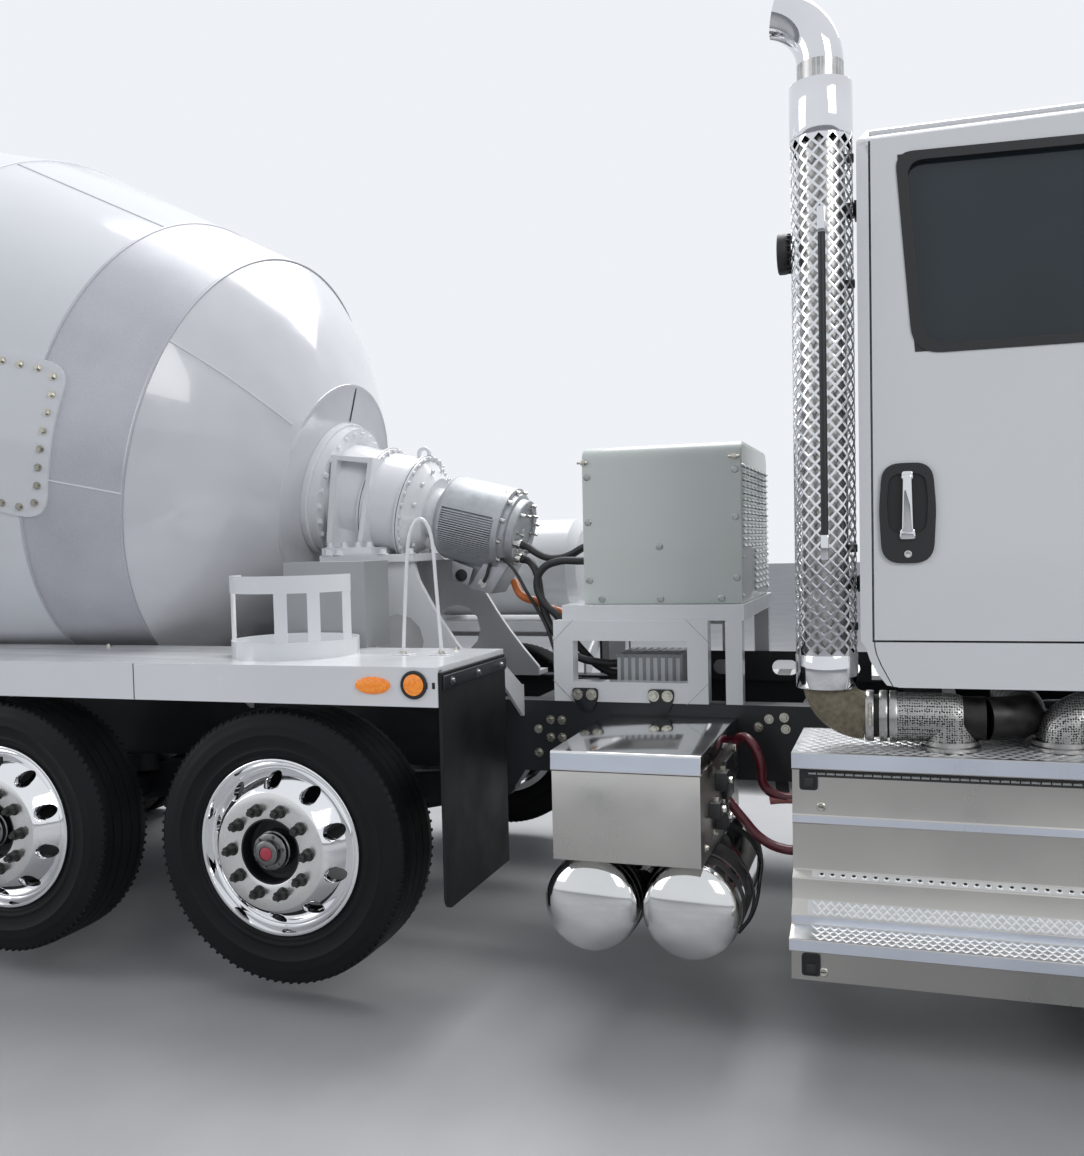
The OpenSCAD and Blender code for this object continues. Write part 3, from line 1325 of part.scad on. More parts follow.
// A tube swept along a smooth curve through the route's points.
module cable(route, r) {
    n = len(route) - 1;
    steps = 4;
    function spline(i, t) = let (a = route[max(i - 1, 0)], b = route[i], c = route[i + 1],
        d = route[min(i + 2, n)]) 0.5 * ((2 * b) + (c - a) * t + (2 * a - 5 * b + 4 * c - d) * t * t
        + (3 * b - a - 3 * c + d) * t * t * t);
    line = concat([for (i = [0 : n - 1], j = [0 : steps - 1]) spline(i, j / steps)], [route[n]]);
    m = len(line) - 1;
    rings = [for (i = [0 : m]) let (t = line[min(i + 1, m)] - line[max(i - 1, 0)],
        u = cross(t, [0, 1, 0]) / norm(cross(t, [0, 1, 0])), v = cross(t, u) / norm(t))
        for (k = [0 : cable_sides - 1]) line[i] + r * (cos(360 * k / cable_sides) * u
            + sin(360 * k / cable_sides) * v)];
    polyhedron(rings, concat(
        [[for (k = [0 : cable_sides - 1]) k]],
        [for (i = [0 : m - 1], k = [0 : cable_sides - 1]) let (k2 = (k + 1) % cable_sides)
            [i * cable_sides + k, (i + 1) * cable_sides + k, (i + 1) * cable_sides + k2,
                i * cable_sides + k2]],
        [[for (k = [cable_sides - 1 : -1 : 0]) m * cable_sides + k]]));
}

// Columns: the air hoses' points from the tool box to the step box.
hose_routes = [
    [[toolbox_x + toolbox_l + seat, -560, 845], [2020, -570, 880], [2060, -600, 868], [2092, -615, 800],
        [2105, -610, 720], [2150, -605, 690], [steps_x - seat, -600, 685]],
    [[toolbox_x + toolbox_l + seat, -720, 700], [2040, -722, 640], [2110, -730, 570], [2180, -740, 545],
        [steps_x - seat, -740, 545]]];

module cables() color("#202124") {
    for (route = cable_routes) cable(route, cable_r);
    for (route = hose_routes) cable(route, cable_r);
}

module lamps() {
    color("orange") both_sides() {
        at_wheel(960, deck_y + seat, 1128, 1) cylinder(r = 40, h = 12);
        at_wheel(1103, deck_y + seat, 1132, 1) cylinder(r = 45, h = 12);
        for (y = [210, 330]) translate([rail_rear_x - seat, y, 840]) rotate([0, -90, 0]) cylinder(r = 50,
            h = 30);
    }
    color("silver") translate([stack_x - shield_r - seat, -stack_y + 40, 2415]) rotate([0, -90, 0])
        cylinder(r = 60, h = 40);
    color("orange") for (y = [-700, -200, 0, 200, 700]) translate([3380, y - 45, roof_z + seat]) cube([60,
        90, 26]);
}

frame_rails();
front_bumper();
steer_axle();
knuckle(1);  // knuckle_left
knuckle(-1);  // knuckle_right
tie_rod();
steer_tyre(1);  // steer_tyre_left
steer_tyre(-1);  // steer_tyre_right
steer_wheel(1);  // steer_wheel_left
steer_wheel(-1);  // steer_wheel_right
pusher_axles();
pusher_tyre(pusher_front_x, 1);  // pusher_front_tyre_left
pusher_tyre(pusher_front_x, -1);  // pusher_front_tyre_right
pusher_wheel(pusher_front_x, 1);  // pusher_front_wheel_left
pusher_wheel(pusher_front_x, -1);  // pusher_front_wheel_right
pusher_tyre(pusher_rear_x, 1);  // pusher_rear_tyre_left
pusher_tyre(pusher_rear_x, -1);  // pusher_rear_tyre_right
pusher_wheel(pusher_rear_x, 1);  // pusher_rear_wheel_left
pusher_wheel(pusher_rear_x, -1);  // pusher_rear_wheel_right
drive_axles();
drive_tyres(drive_front_x, 1);  // drive_front_tyres_left
drive_tyres(drive_front_x, -1);  // drive_front_tyres_right
drive_wheels(drive_front_x, 1);  // drive_front_wheels_left
drive_wheels(drive_front_x, -1);  // drive_front_wheels_right
drive_tyres(drive_rear_x, 1);  // drive_rear_tyres_left
drive_tyres(drive_rear_x, -1);  // drive_rear_tyres_right
drive_wheels(drive_rear_x, 1);  // drive_rear_wheels_left
drive_wheels(drive_rear_x, -1);  // drive_rear_wheels_right
engine();
hood();
hood_trim();
cab_shell();
cab_glass();
cab_interior();
door(1);  // door_left
door(-1);  // door_right
door_glass(1);  // door_glass_left
door_glass(-1);  // door_glass_right
side_boxes();
tanks();
exhaust_stack();
power_cabinet();
cabinet_stand();
decks();
mud_flaps();
front_pedestal();
gearbox();
drive_motor();
drum();
rear_pedestal();
roller(1);  // roller_left
roller(-1);  // roller_right
hoppers();
chute_post();
main_chute();
fold_chute();
lift_barrel();
lift_rod();
lamps();
cables();
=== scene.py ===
from math import atan2, cos, hypot, pi, radians, sin, sqrt

import bmesh
import bpy
from mathutils import Matrix, Vector


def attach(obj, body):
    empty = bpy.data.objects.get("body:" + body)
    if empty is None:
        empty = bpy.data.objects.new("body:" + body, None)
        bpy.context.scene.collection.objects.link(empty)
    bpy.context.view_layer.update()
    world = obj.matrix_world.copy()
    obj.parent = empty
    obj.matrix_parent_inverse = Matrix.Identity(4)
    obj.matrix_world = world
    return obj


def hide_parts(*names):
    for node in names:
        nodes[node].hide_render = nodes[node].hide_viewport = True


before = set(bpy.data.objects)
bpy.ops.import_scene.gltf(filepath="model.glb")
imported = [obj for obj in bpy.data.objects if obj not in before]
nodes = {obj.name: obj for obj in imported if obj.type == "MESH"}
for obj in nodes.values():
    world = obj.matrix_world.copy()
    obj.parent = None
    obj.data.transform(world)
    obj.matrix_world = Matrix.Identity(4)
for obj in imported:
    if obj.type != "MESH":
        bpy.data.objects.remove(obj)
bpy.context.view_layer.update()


# The view: a lens of 34 mm, held level with the deck on the truck's right, looking across the
# pusher wheels at the drum drive and the rear of the cab.
def move(x, y, z):
    return Matrix.Translation((x, y, z))


def turn_by(degrees, axis):
    return Matrix.Rotation(radians(degrees), 4, axis)


yaw, pitch, roll = (radians(a) for a in (18.27, -2.62, 1.31))
look = Vector((-sin(yaw) * cos(pitch), cos(yaw) * cos(pitch), sin(pitch)))
level = Vector((cos(yaw), sin(yaw), 0))
down = look.cross(level)
right = level * cos(roll) + down * sin(roll)
up = level * sin(roll) - down * cos(roll)
camera = bpy.data.objects.new("camera", bpy.data.cameras.new("camera"))
camera.data.sensor_fit = "AUTO"
camera.data.lens = 34.34
camera.data.shift_y = 0.012
camera.data.clip_end = 200
camera.matrix_world = move(2.5654, -4.3778, 1.5713) @ Matrix((right, up, -look)).transposed().to_4x4()
bpy.context.collection.objects.link(camera)
bpy.context.scene.camera = camera
bpy.context.scene.view_settings.view_transform = "Standard"


class Wire:
    """A shader value that can stand in a sum or a product."""

    def __init__(self, finish, socket):
        self.finish = finish
        self.socket = socket

    def __add__(self, other):
        return self.finish.node("Math", {"operation": "ADD"}, {0: self, 1: other})

    def __mul__(self, other):
        return self.finish.node("Math", {"operation": "MULTIPLY"}, {0: self, 1: other})


class Finish:
    """A finish being mixed. Even sets the values that are the same all over the surface."""

    own_coordinates = 3   # the output of a TexCoord node that gives object coordinates

    def __init__(self, name, colour, even):
        self.material = bpy.data.materials.new(name)
        self.material.use_nodes = True
        self.material.diffuse_color = (*colour, 1)
        self.tree = self.material.node_tree
        self.shader = self.tree.nodes["Principled BSDF"]
        self.shader.inputs["Base Color"].default_value = (*colour, 1)
        for socket, value in even.items():
            self.shader.inputs[socket].default_value = value

    def node(self, kind, settings, values, out=0):
        made = self.tree.nodes.new("ShaderNode" + kind)
        for setting, value in settings.items():
            setattr(made, setting, value)
        for socket, value in values.items():
            self.feed(made.inputs[socket], value)
        return Wire(self, made.outputs[out])

    def feed(self, socket, value):
        if isinstance(value, Wire):
            self.tree.links.new(value.socket, socket)
        elif socket.type == "RGBA":
            socket.default_value = (*value, 1)
        else:
            socket.default_value = value

    def place(self, stretch=(1, 1, 1)):
        """Coordinates of the piece itself, so that a pattern moves with it."""
        where = self.node("TexCoord", {}, {}, self.own_coordinates)
        if stretch == (1, 1, 1):
            return where
        return self.node("Mapping", {}, {"Vector": where, "Scale": stretch})

    def grain(self, scale, detail=3, stretch=(1, 1, 1)):
        return self.node("TexNoise", {}, {"Vector": self.place(stretch), "Scale": scale, "Detail": detail})

    def cells(self, scale, random=1):
        return self.node("TexVoronoi", {}, {"Vector": self.place(), "Scale": scale, "Randomness": random})

    def step(self, value, low, high):
        return self.node("MapRange", {}, {"Value": value, "From Min": low, "From Max": high})

    def blend(self, amount, first, second):
        """A mix of two colours: the node takes them at 6 and 7, and gives the result at 2."""
        return self.node("Mix", {"data_type": "RGBA"}, {0: amount, 6: first, 7: second}, 2)

    def coat(self, **varying):
        for socket, value in varying.items():
            self.feed(self.shader.inputs[socket.replace("_", " ")], value)
        return self

    def shaded(self, pattern, first, second, rough, least):
        """Colour and roughness that follow one pattern together."""
        return self.coat(Base_Color=self.blend(pattern, first, second), Roughness=pattern * rough + least)

    def relief(self, height, depth, strength=1):
        bump = self.node("Bump", {}, {"Height": height, "Distance": depth, "Strength": strength})
        return self.coat(Normal=bump)


# The studio: a plain concrete floor, an even sky that looks pale, and three large soft lamps. The main
# one stands high behind the truck, as the sun does, so tops are brighter than sides.
studio = Finish("studio_floor", (0.46, 0.46, 0.47), {"Roughness": 0.75})
mottle = studio.step(studio.grain(1.4, 5), 0.3, 0.7)
studio.coat(Base_Color=studio.blend(mottle, (0.42, 0.42, 0.43), (0.5, 0.5, 0.505)))
floor_form = bmesh.new()
bmesh.ops.create_grid(floor_form, x_segments=1, y_segments=1, size=60)
floor_mesh = bpy.data.meshes.new("floor")
floor_form.to_mesh(floor_mesh)
floor_mesh.materials.append(studio.material)
floor = bpy.data.objects.new("floor", floor_mesh)
bpy.context.collection.objects.link(floor)

sky = bpy.data.worlds.new("sky")
sky.use_nodes = True
bpy.context.scene.world = sky
parts = sky.node_tree.nodes
ground, seen = parts["Background"], parts.new("ShaderNodeBackground")
for shade, colour, strength in ((ground, (0.8, 0.86, 0.95, 1), 0.46), (seen, (0.86, 0.89, 0.93, 1), 1)):
    shade.inputs["Color"].default_value = colour
    shade.inputs["Strength"].default_value = strength
path, choice = parts.new("ShaderNodeLightPath"), parts.new("ShaderNodeMixShader")
mirrored, either = parts.new("ShaderNodeMath"), parts.new("ShaderNodeMath")
mirrored.operation = either.operation = "MAXIMUM"
for source, target in (
    (path.outputs["Is Glossy Ray"], mirrored.inputs[0]),
    (path.outputs["Is Transmission Ray"], mirrored.inputs[1]),
    (path.outputs["Is Camera Ray"], either.inputs[0]),
    (mirrored.outputs[0], either.inputs[1]),
    (either.outputs[0], choice.inputs[0]),
    (ground.outputs[0], choice.inputs[1]),
    (seen.outputs[0], choice.inputs[2]),
    (choice.outputs[0], parts["World Output"].inputs["Surface"]),
):
    sky.node_tree.links.new(source, target)

for name, spot, aim, size, watts in (
    ("top_lamp", (1.5, 3.5, 9), (0.5, -0.6, 1), 7, 900),
    ("side_lamp", (9.5, -8, 7), (0.8, 0, 1.3), 5, 380),
    ("rear_lamp", (-9, -6, 6), (-1, 0, 1.5), 6, 260),
):
    lamp = bpy.data.objects.new(name, bpy.data.lights.new(name, "AREA"))
    lamp.data.size = size
    lamp.data.energy = watts
    lamp.location = spot
    lamp.rotation_euler = (Vector(aim) - Vector(spot)).to_track_quat("-Z", "Y").to_euler()
    bpy.context.collection.objects.link(lamp)


class Form:
    """A piece while it is made: each solid goes in with the finish that it gets."""

    sharp = 0.5      # the least angle, in radians, of an edge that is rounded
    crowd = 1500     # vertices that are worked on at once; more are set aside in a mesh of their own
    most_slots = 8

    def __init__(self):
        self.mesh = bmesh.new()
        self.finishes = []
        self.ready = []

    def coat(self, verts, finish):
        if finish not in self.finishes:
            self.finishes.append(finish)
        for face in {f for v in verts for f in v.link_faces}:
            face.material_index = self.finishes.index(finish)
            face.smooth = True

    def soften(self, verts, edge, finish):
        bmesh.ops.recalc_face_normals(self.mesh, faces=list({f for v in verts for f in v.link_faces}))
        self.coat(verts, finish)
        if edge:
            edges = {e for v in verts for e in v.link_edges if e.is_manifold and e.calc_face_angle() > self.sharp}
            bmesh.ops.bevel(self.mesh, geom=list(edges), offset=edge, offset_type="OFFSET", affect="EDGES",
                            segments=2, profile=0.5, material=-1, clamp_overlap=True)
        if len(self.mesh.verts) > self.crowd:
            self.ready.append(bpy.data.meshes.new("ready"))
            self.mesh.to_mesh(self.ready[-1])
            self.mesh.clear()

    def block(self, low, high, finish, edge=0.002, place=Matrix()):
        low, high = Vector(low), Vector(high)
        size = high - low
        spot = Matrix.Translation((low + high) / 2) @ Matrix.Diagonal((*size, 1))
        made = bmesh.ops.create_cube(self.mesh, size=1, matrix=place @ spot)["verts"]
        self.soften(made, edge, finish)

    def plate(self, outline, reach, finish, edge=0, place=Matrix()):
        """A flat outline in X and Y, drawn out along Z from reach[0] to reach[1], then placed."""
        verts = [self.mesh.verts.new((x, y, reach[0])) for x, y in outline]
        face = self.mesh.faces.new(verts)
        drawn = bmesh.ops.extrude_face_region(self.mesh, geom=[face])["geom"]
        far = [g for g in drawn if isinstance(g, bmesh.types.BMVert)]
        bmesh.ops.translate(self.mesh, vec=(0, 0, reach[1] - reach[0]), verts=far)
        made = verts + far
        bmesh.ops.transform(self.mesh, matrix=place, verts=made)
        self.soften(made, edge, finish)

    def loft(self, rings, finish, place=Matrix(), closed=False):
        """Rings of as many points each, joined in turn, then capped or closed to a loop."""
        rings = [[self.mesh.verts.new(place @ Vector(point)) for point in ring] for ring in rings]
        count = len(rings[0])
        for near, far in zip(rings, rings[1:] + rings[:1] if closed else rings[1:]):
            for i in range(count):
                j = (i + 1) % count
                self.mesh.faces.new((near[i], near[j], far[j], far[i]))
        if not closed:
            self.mesh.faces.new(rings[0][::-1])
            self.mesh.faces.new(rings[-1])
        self.soften([v for ring in rings for v in ring], 0, finish)

    def rim(self, outer, inner, reach, finish, place=Matrix()):
        """A flat ring between two outlines with as many points each, drawn out along Z."""
        near, far = reach
        self.loft([[(x, y, z) for x, y in line] for line, z in
                   ((outer, near), (outer, far), (inner, far), (inner, near))], finish, place, True)

    def gather(self, name):
        """One mesh of all that was made."""
        for mesh in self.ready:
            self.mesh.from_mesh(mesh)
            bpy.data.meshes.remove(mesh)
        whole = bpy.data.meshes.new(name)
        self.mesh.to_mesh(whole)
        self.mesh.free()
        return whole

    def turned(self, profile, finish, place=Matrix(), steps=64, closed=True):
        """A profile of radius and height, spun about Z and then placed."""
        line = [self.mesh.verts.new((r, 0, z)) for r, z in profile]
        pairs = list(zip(line, line[1:])) + ([(line[-1], line[0])] if closed else [])
        edges = [self.mesh.edges.new(pair) for pair in pairs]
        bmesh.ops.spin(self.mesh, geom=line + edges, axis=(0, 0, 1), cent=(0, 0, 0), angle=2 * pi, steps=steps,
                       use_merge=True)
        made = {v for e in edges for v in e.verts}
        faces, todo = set(), list(made)
        while todo:
            for face in todo.pop().link_faces:
                if face not in faces:
                    faces.add(face)
                    todo.extend(face.verts)
        made = {v for f in faces for v in f.verts}
        bmesh.ops.remove_doubles(self.mesh, verts=list(made), dist=1e-6)
        made = [v for v in made if v.is_valid]
        bmesh.ops.transform(self.mesh, matrix=place, verts=made)
        self.soften(made, 0, finish)

    def band(self, inner, outer, low, high, finish, place=Matrix(), steps=64):
        self.turned([(inner, low), (outer, low), (outer, high), (inner, high)], finish, place, steps)

    def rod(self, start, end, radius, finish, steps=16, tip=None, edge=0):
        start, end = Vector(start), Vector(end)
        turn = (end - start).to_track_quat("Z", "Y").to_matrix().to_4x4()
        made = bmesh.ops.create_cone(self.mesh, cap_ends=True, segments=steps, radius1=radius,
                                     radius2=radius if tip is None else tip, depth=(end - start).length,
                                     matrix=Matrix.Translation((start + end) / 2) @ turn)["verts"]
        self.soften(made, edge, finish)

    def bolt(self, at, along, radius, finish, height=None, washer=1.5):
        at, along = Vector(at), Vector(along).normalized()
        height = height or radius * 0.9
        self.rod(at, at + along * height * 0.25, radius * washer, finish, 14)
        self.rod(at, at + along * height * 1.25, radius, finish, 6, radius * 0.93)

    def hose(self, points, radius, finish, steps=4, smooth=6):
        """A round bar or hose along a smooth line through the points."""
        curve = bpy.data.curves.new("hose", "CURVE")
        curve.dimensions = "3D"
        curve.bevel_depth = radius
        curve.bevel_resolution = steps
        curve.use_fill_caps = True
        curve.resolution_u = smooth
        line = curve.splines.new("BEZIER" if smooth > 1 else "POLY")
        knots = line.bezier_points if smooth > 1 else line.points
        knots.add(len(points) - 1)
        for knot, point in zip(knots, points):
            if smooth > 1:
                knot.co = point
                knot.handle_left_type = knot.handle_right_type = "AUTO"
            else:
                knot.co = (*point, 1)
        holder = bpy.data.objects.new("hose", curve)
        bpy.context.collection.objects.link(holder)
        bpy.context.view_layer.update()
        tube = bpy.data.meshes.new_from_object(holder.evaluated_get(bpy.context.evaluated_depsgraph_get()))
        self.add(tube, finish)
        bpy.data.objects.remove(holder)

    def add(self, mesh, finish, place=Matrix()):
        """Takes in a whole mesh. A list of finishes goes by the mesh's own slots."""
        taken = mesh.copy()
        taken.transform(place)
        if place.determinant() < 0:
            taken.flip_normals()
        own = finish if isinstance(finish, list) else [finish] * self.most_slots
        for one in own:
            if one not in self.finishes:
                self.finishes.append(one)
        for shape in taken.polygons:
            shape.material_index = self.finishes.index(own[shape.material_index])
            shape.use_smooth = True
        self.ready.append(taken)

    def kept(self, name):
        """The mesh and its finishes, to be put in many places."""
        return self.gather(name), self.finishes

    def done(self, name, body, node, crease, edge=0):
        """The finished piece: it rides its body and stands in for its CAD node."""
        mesh = self.gather(name)
        for finish in self.finishes:
            mesh.materials.append(finish.material)
        mesh.set_sharp_from_angle(angle=radians(crease))
        piece = bpy.data.objects.new(name, mesh)
        bpy.context.collection.objects.link(piece)
        if edge:
            bevel = piece.modifiers.new("edges", "BEVEL")
            bevel.width = edge
            bevel.segments = 2
            bevel.limit_method = "ANGLE"
            bevel.angle_limit = radians(35)
            bevel.harden_normals = True
        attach(piece, body)
        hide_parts(node)


def dress(node, body, finish, edge=0.003, more=None):
    """A CAD node's own shape with its facets merged, its edges rounded and its finish put on."""
    form = Form()
    form.mesh.from_mesh(nodes[node].data)
    form.coat(form.mesh.verts, finish)
    bmesh.ops.remove_doubles(form.mesh, verts=form.mesh.verts, dist=2e-5)
    bmesh.ops.dissolve_limit(form.mesh, angle_limit=0.01, verts=form.mesh.verts, edges=form.mesh.edges)
    if more:
        more(form)
    form.done(node + "_dressed", body, node, 30, edge)


def rounded(corners, cut, steps=5):
    """The outline through the corners, each rounded off over a length of cut."""
    line = []
    for i, corner in enumerate(corners):
        here, back, ahead = (Vector(p) for p in (corner, corners[i - 1], corners[(i + 1) % len(corners)]))
        reach = cut[i] if isinstance(cut, (list, tuple)) else cut
        start = here + (back - here).normalized() * reach
        end = here + (ahead - here).normalized() * reach
        for k in range(steps + 1):
            t = k / steps
            line.append(tuple(start * (1 - t) ** 2 + here * 2 * t * (1 - t) + end * t * t))
    return line


def rounded_box(x0, y0, x1, y1, cut, steps=5):
    return rounded([(x0, y0), (x1, y0), (x1, y1), (x0, y1)], cut, steps)


def shrunk(outline, x, y, by_x, by_y):
    """The outline drawn in towards a point."""
    return [(x + (u - x) * by_x, y + (v - y) * by_y) for u, v in outline]


def arc(radius, first, last, steps, x=0, y=0, tall=None):
    """Points on a round or, with its other radius, an oval line between two angles in degrees."""
    turns = [radians(first + (last - first) * k / steps) for k in range(steps + 1)]
    return [(x + radius * cos(a), y + (radius if tall is None else tall) * sin(a)) for a in turns]


def polar(radius, degrees, z=0):
    return Vector((radius * cos(radians(degrees)), radius * sin(radians(degrees)), z))


def enamel(name, colour, gloss=0.26, dust=0.06, clear=0.35):
    """Sprayed paint under a clear coat, with a trace of dust and orange peel."""
    finish = Finish(name, colour, {"Coat Weight": clear, "Coat Roughness": 0.05})
    cloud = finish.step(finish.grain(1.3, 4), 0.35, 0.68)
    dull = tuple(c * (1 - dust) for c in colour)
    finish.coat(Base_Color=finish.blend(cloud, dull, colour),
                Roughness=finish.grain(6, 3) * 0.16 + (gloss - 0.08))
    return finish.relief(finish.grain(140, 2), 0.0002, 0.25)


def matt(name, colour, even, scale, rough, least, detail=3):
    """A plain finish whose roughness varies."""
    finish = Finish(name, colour, even)
    return finish.coat(Roughness=finish.grain(scale, detail) * rough + least)


def metal(name, colour, rough, mottle=0.12, scale=9, brushed=None):
    """Bare metal: its shade and roughness vary in patches, and brushing runs one way."""
    finish = Finish(name, colour, {"Metallic": 1})
    cloud = finish.step(finish.grain(scale, 5), 0.3, 0.7)
    dull = tuple(c * (1 - mottle) for c in colour)
    finish.coat(Base_Color=finish.blend(cloud, dull, colour), Roughness=cloud * (rough * 0.6) + rough * 0.6)
    if brushed:
        finish.relief(finish.grain(brushed[0], 2, brushed[1]), brushed[2], 0.4)
    return finish


# Frame rails: riveted and bolted black steel, with the zinc bolt heads that show by the tool box.
black = enamel("chassis_black", (0.009, 0.011, 0.015), 0.46, 0.35, 0.05)
zinc = metal("zinc_bolts", (0.62, 0.6, 0.53), 0.28, 0.35, 60)

rail_face = 0.432
box_back = rail_face + 0.0003   # the boxes stand 0.3 mm off the rails


def rail_bolts(form):
    for side in (-1, 1):
        for x, z in ((2.064, 0.892), (2.101, 0.922), (2.154, 0.929), (2.159, 0.888), (1.285, 0.896),
                     (1.33, 0.896), (1.285, 0.83), (1.33, 0.83), (1.237, 0.77), (1.237, 0.86)):
            form.bolt((x, side * rail_face, z), (0, side, 0), 0.0115, zinc, 0.011)
        for x in (-3.45, -2.53, -1.25, 0.1, 0.95, 3.95, 4.2):
            for dx in (-0.035, 0.035):
                for z in (0.77, 0.9):
                    form.bolt((x + dx, side * rail_face, z), (0, side, 0), 0.0115, zinc, 0.011)


dress("frame_rails", "chassis", black, 0.003, more=rail_bolts)

# Axles, springs, knuckles and tie rod: forged and cast steel in the same black. The edges of what
# steers stay sharp, since rounded ones would cut into each other at the pins.
for node, body in (("steer_axle", "chassis"), ("pusher_axles", "chassis"), ("drive_axles", "chassis"),
                   ("knuckle_left", "knuckle_left"), ("knuckle_right", "knuckle_right"), ("tie_rod", "tie_rod")):
    dress(node, body, black, 0.004 if body == "chassis" else 0)

# Tyres: black rubber, a ribbed tread on the steer and pusher wheels and lugs on the drive wheels.
# Each is its own mesh, made once and set on every wheel of its size.
rubber = Finish("tyre_rubber", (0.009, 0.0095, 0.011), {"Specular IOR Level": 0.18})
scuff = rubber.step(rubber.grain(5, 4), 0.35, 0.75)
rubber.shaded(scuff, (0.005, 0.0055, 0.0065), (0.01, 0.0105, 0.012), 0.18, 0.5)
rubber.relief(rubber.grain(220, 2), 0.0004, 0.3)


def tyre(radius, width, lugs):
    form = Form()
    half, base = width / 2, radius - 0.013
    side = [(0.2857, 0.1045), (0.3, 0.1047), (0.306, 0.1075), (0.312, 0.1135), (0.318, 0.114), (0.3195, 0.1165),
            (0.33, 0.12), (0.3315, 0.119), (0.345, 0.93 * half), (0.36, 0.965 * half), (0.378, 0.992 * half),
            (0.3795, 1.003 * half), (0.3835, 1.003 * half), (0.385, 0.998 * half), (0.405, half),
            (radius - 0.045, 0.978 * half), (radius - 0.043, 0.968 * half), (radius - 0.03, 0.945 * half),
            (radius - 0.015, 0.915 * half), (radius - 0.006, 0.865 * half), (radius - 0.002, 0.8 * half)]
    crown = [0.8, 0.57, 0.53, 0.22, 0.18] if not lugs else [0.8, 0.45, 0.42, 0.05, 0.02]
    line = list(side)
    for k in range(1, len(crown), 2):
        line += [(radius, crown[k] * half), (base, (crown[k] - 0.012) * half), (base, (crown[k + 1] + 0.012) * half),
                 (radius, crown[k + 1] * half)]
    line += [(r, -z) for r, z in reversed(line)]
    form.turned(line, rubber, steps=120)
    count = 54 if lugs else 96
    for i in range(count):
        turn = turn_by(360 * i / count, "Z")
        for s in (-1, 1):
            if lugs:
                form.block((radius - 0.02, -0.012, s * 0.62 * half - 0.19 * half),
                           (radius, 0.012, s * 0.62 * half + 0.2 * half), rubber, 0, turn)
            else:
                form.block((radius - 0.024, -0.0045, s * 0.87 * half - 0.006),
                           (radius - 0.003, 0.0045, s * 0.87 * half + 0.006), rubber, 0, turn)
    return form.kept("tyre")


# Wheels: forged aluminium discs, mirror bright in the dish and satin on the bolting face, with ten
# hand holes, and ten dark nuts that hold them to the hub. The hub's bore is black, with a grey cap and
# a red plug.
bright = metal("polished_dish", (0.86, 0.865, 0.875), 0.07, 0.05, 6)
satin = metal("satin_face", (0.78, 0.775, 0.76), 0.26, 0.08, 14)
dark = matt("dark_steel_and_painted_shade", (0.035, 0.034, 0.033), {"Metallic": 0.35}, 30, 0.3, 0.28)
# Near-black: the hub's black bore and the dark seams, and also painted shade, as dark plates in slots, recesses and
# openings and as strips under lips.
black_and_painted_shade = matt("hub_black_and_painted_shade", (0.006, 0.006, 0.007), {}, 20, 0.3, 0.35)
capped = metal("hub_cap_grey", (0.22, 0.22, 0.22), 0.34, 0.3, 25)
plug_red = matt("hub_plug_red", (0.42, 0.035, 0.06), {"Coat Weight": 0.3}, 90, 0.3, 0.3)


def carved(mesh, tool_mesh, operation, within=False):
    """What a boolean with the tool's mesh leaves of the mesh."""
    body, tool = bpy.data.objects.new("blank", mesh), bpy.data.objects.new("cutter", tool_mesh)
    for each in (body, tool):
        bpy.context.collection.objects.link(each)
    cut = body.modifiers.new("cut", "BOOLEAN")
    cut.object, cut.operation, cut.solver = tool, operation, "EXACT"
    if within:
        cut.use_self, cut.material_mode = True, "TRANSFER"
    bpy.context.view_layer.update()
    made = bpy.data.meshes.new_from_object(body.evaluated_get(bpy.context.evaluated_depsgraph_get()))
    for each in (body, tool):
        bpy.data.objects.remove(each)
    return made


def drilled(mesh, finishes, cuts):
    """The mesh with tapered holes cut through it, and the finishes of its slots."""
    tool = Form()
    for start, end, small, large in cuts:
        tool.rod(start, end, small, bright, 32, large)
    tool_mesh = tool.gather("cutter")
    for finish in finishes:
        mesh.materials.append(finish.material)
    tool_mesh.materials.append(bright.material)
    made = carved(mesh, tool_mesh, "DIFFERENCE", True)
    by_name = {finish.material.name: finish for finish in finishes}
    return made, [by_name[slot.name] for slot in made.materials]


def disc():
    form = Form()
    dish = [(0.2955, 0.117), (0.2885, 0.1162), (0.282, 0.1085), (0.2775, 0.0985), (0.273, 0.0905),
            (0.268, 0.0885), (0.263, 0.0912), (0.257, 0.099), (0.25, 0.1085), (0.232, 0.131),
            (0.214, 0.152), (0.207, 0.159), (0.2015, 0.1632), (0.1985, 0.166)]
    back = [(0.11, 0.145), (0.19, 0.145), (0.2, 0.142), (0.236, 0.098), (0.2535, 0.075),
            (0.262, 0.057), (0.2694, 0.03), (0.2694, -0.117), (0.2985, -0.117), (0.2985, -0.1055),
            (0.2854, -0.105), (0.2854, 0.1045), (0.2985, 0.1055), (0.2996, 0.111), (0.2985, 0.1155)]
    face = [(0.196, 0.1672), (0.1125, 0.1672), (0.11, 0.166)]
    form.turned(dish + face + back, bright, steps=96)
    blank = form.gather("blank")
    for shape in blank.polygons:
        if 0.11 < hypot(*shape.center.xy) < 0.197 and shape.center.z > 0.16:
            shape.material_index = 1
    cuts = []
    for i in range(10):
        spot, lean = polar(0.232, 18 + 36 * i), polar(1, 18 + 36 * i)
        cuts.append((spot + Vector((0, 0, 0.05)), spot + Vector((0, 0, 0.2)), 0.0255, 0.0265))
        rise = lean * 0.6 + Vector((0, 0, 0.8))
        edge = spot + Vector((0, 0, 0.131))
        cuts.append((edge - rise * 0.0045, edge + rise * 0.02, 0.0245, 0.052))
    return drilled(blank, [bright, satin], cuts)


stud_r = 0.1429


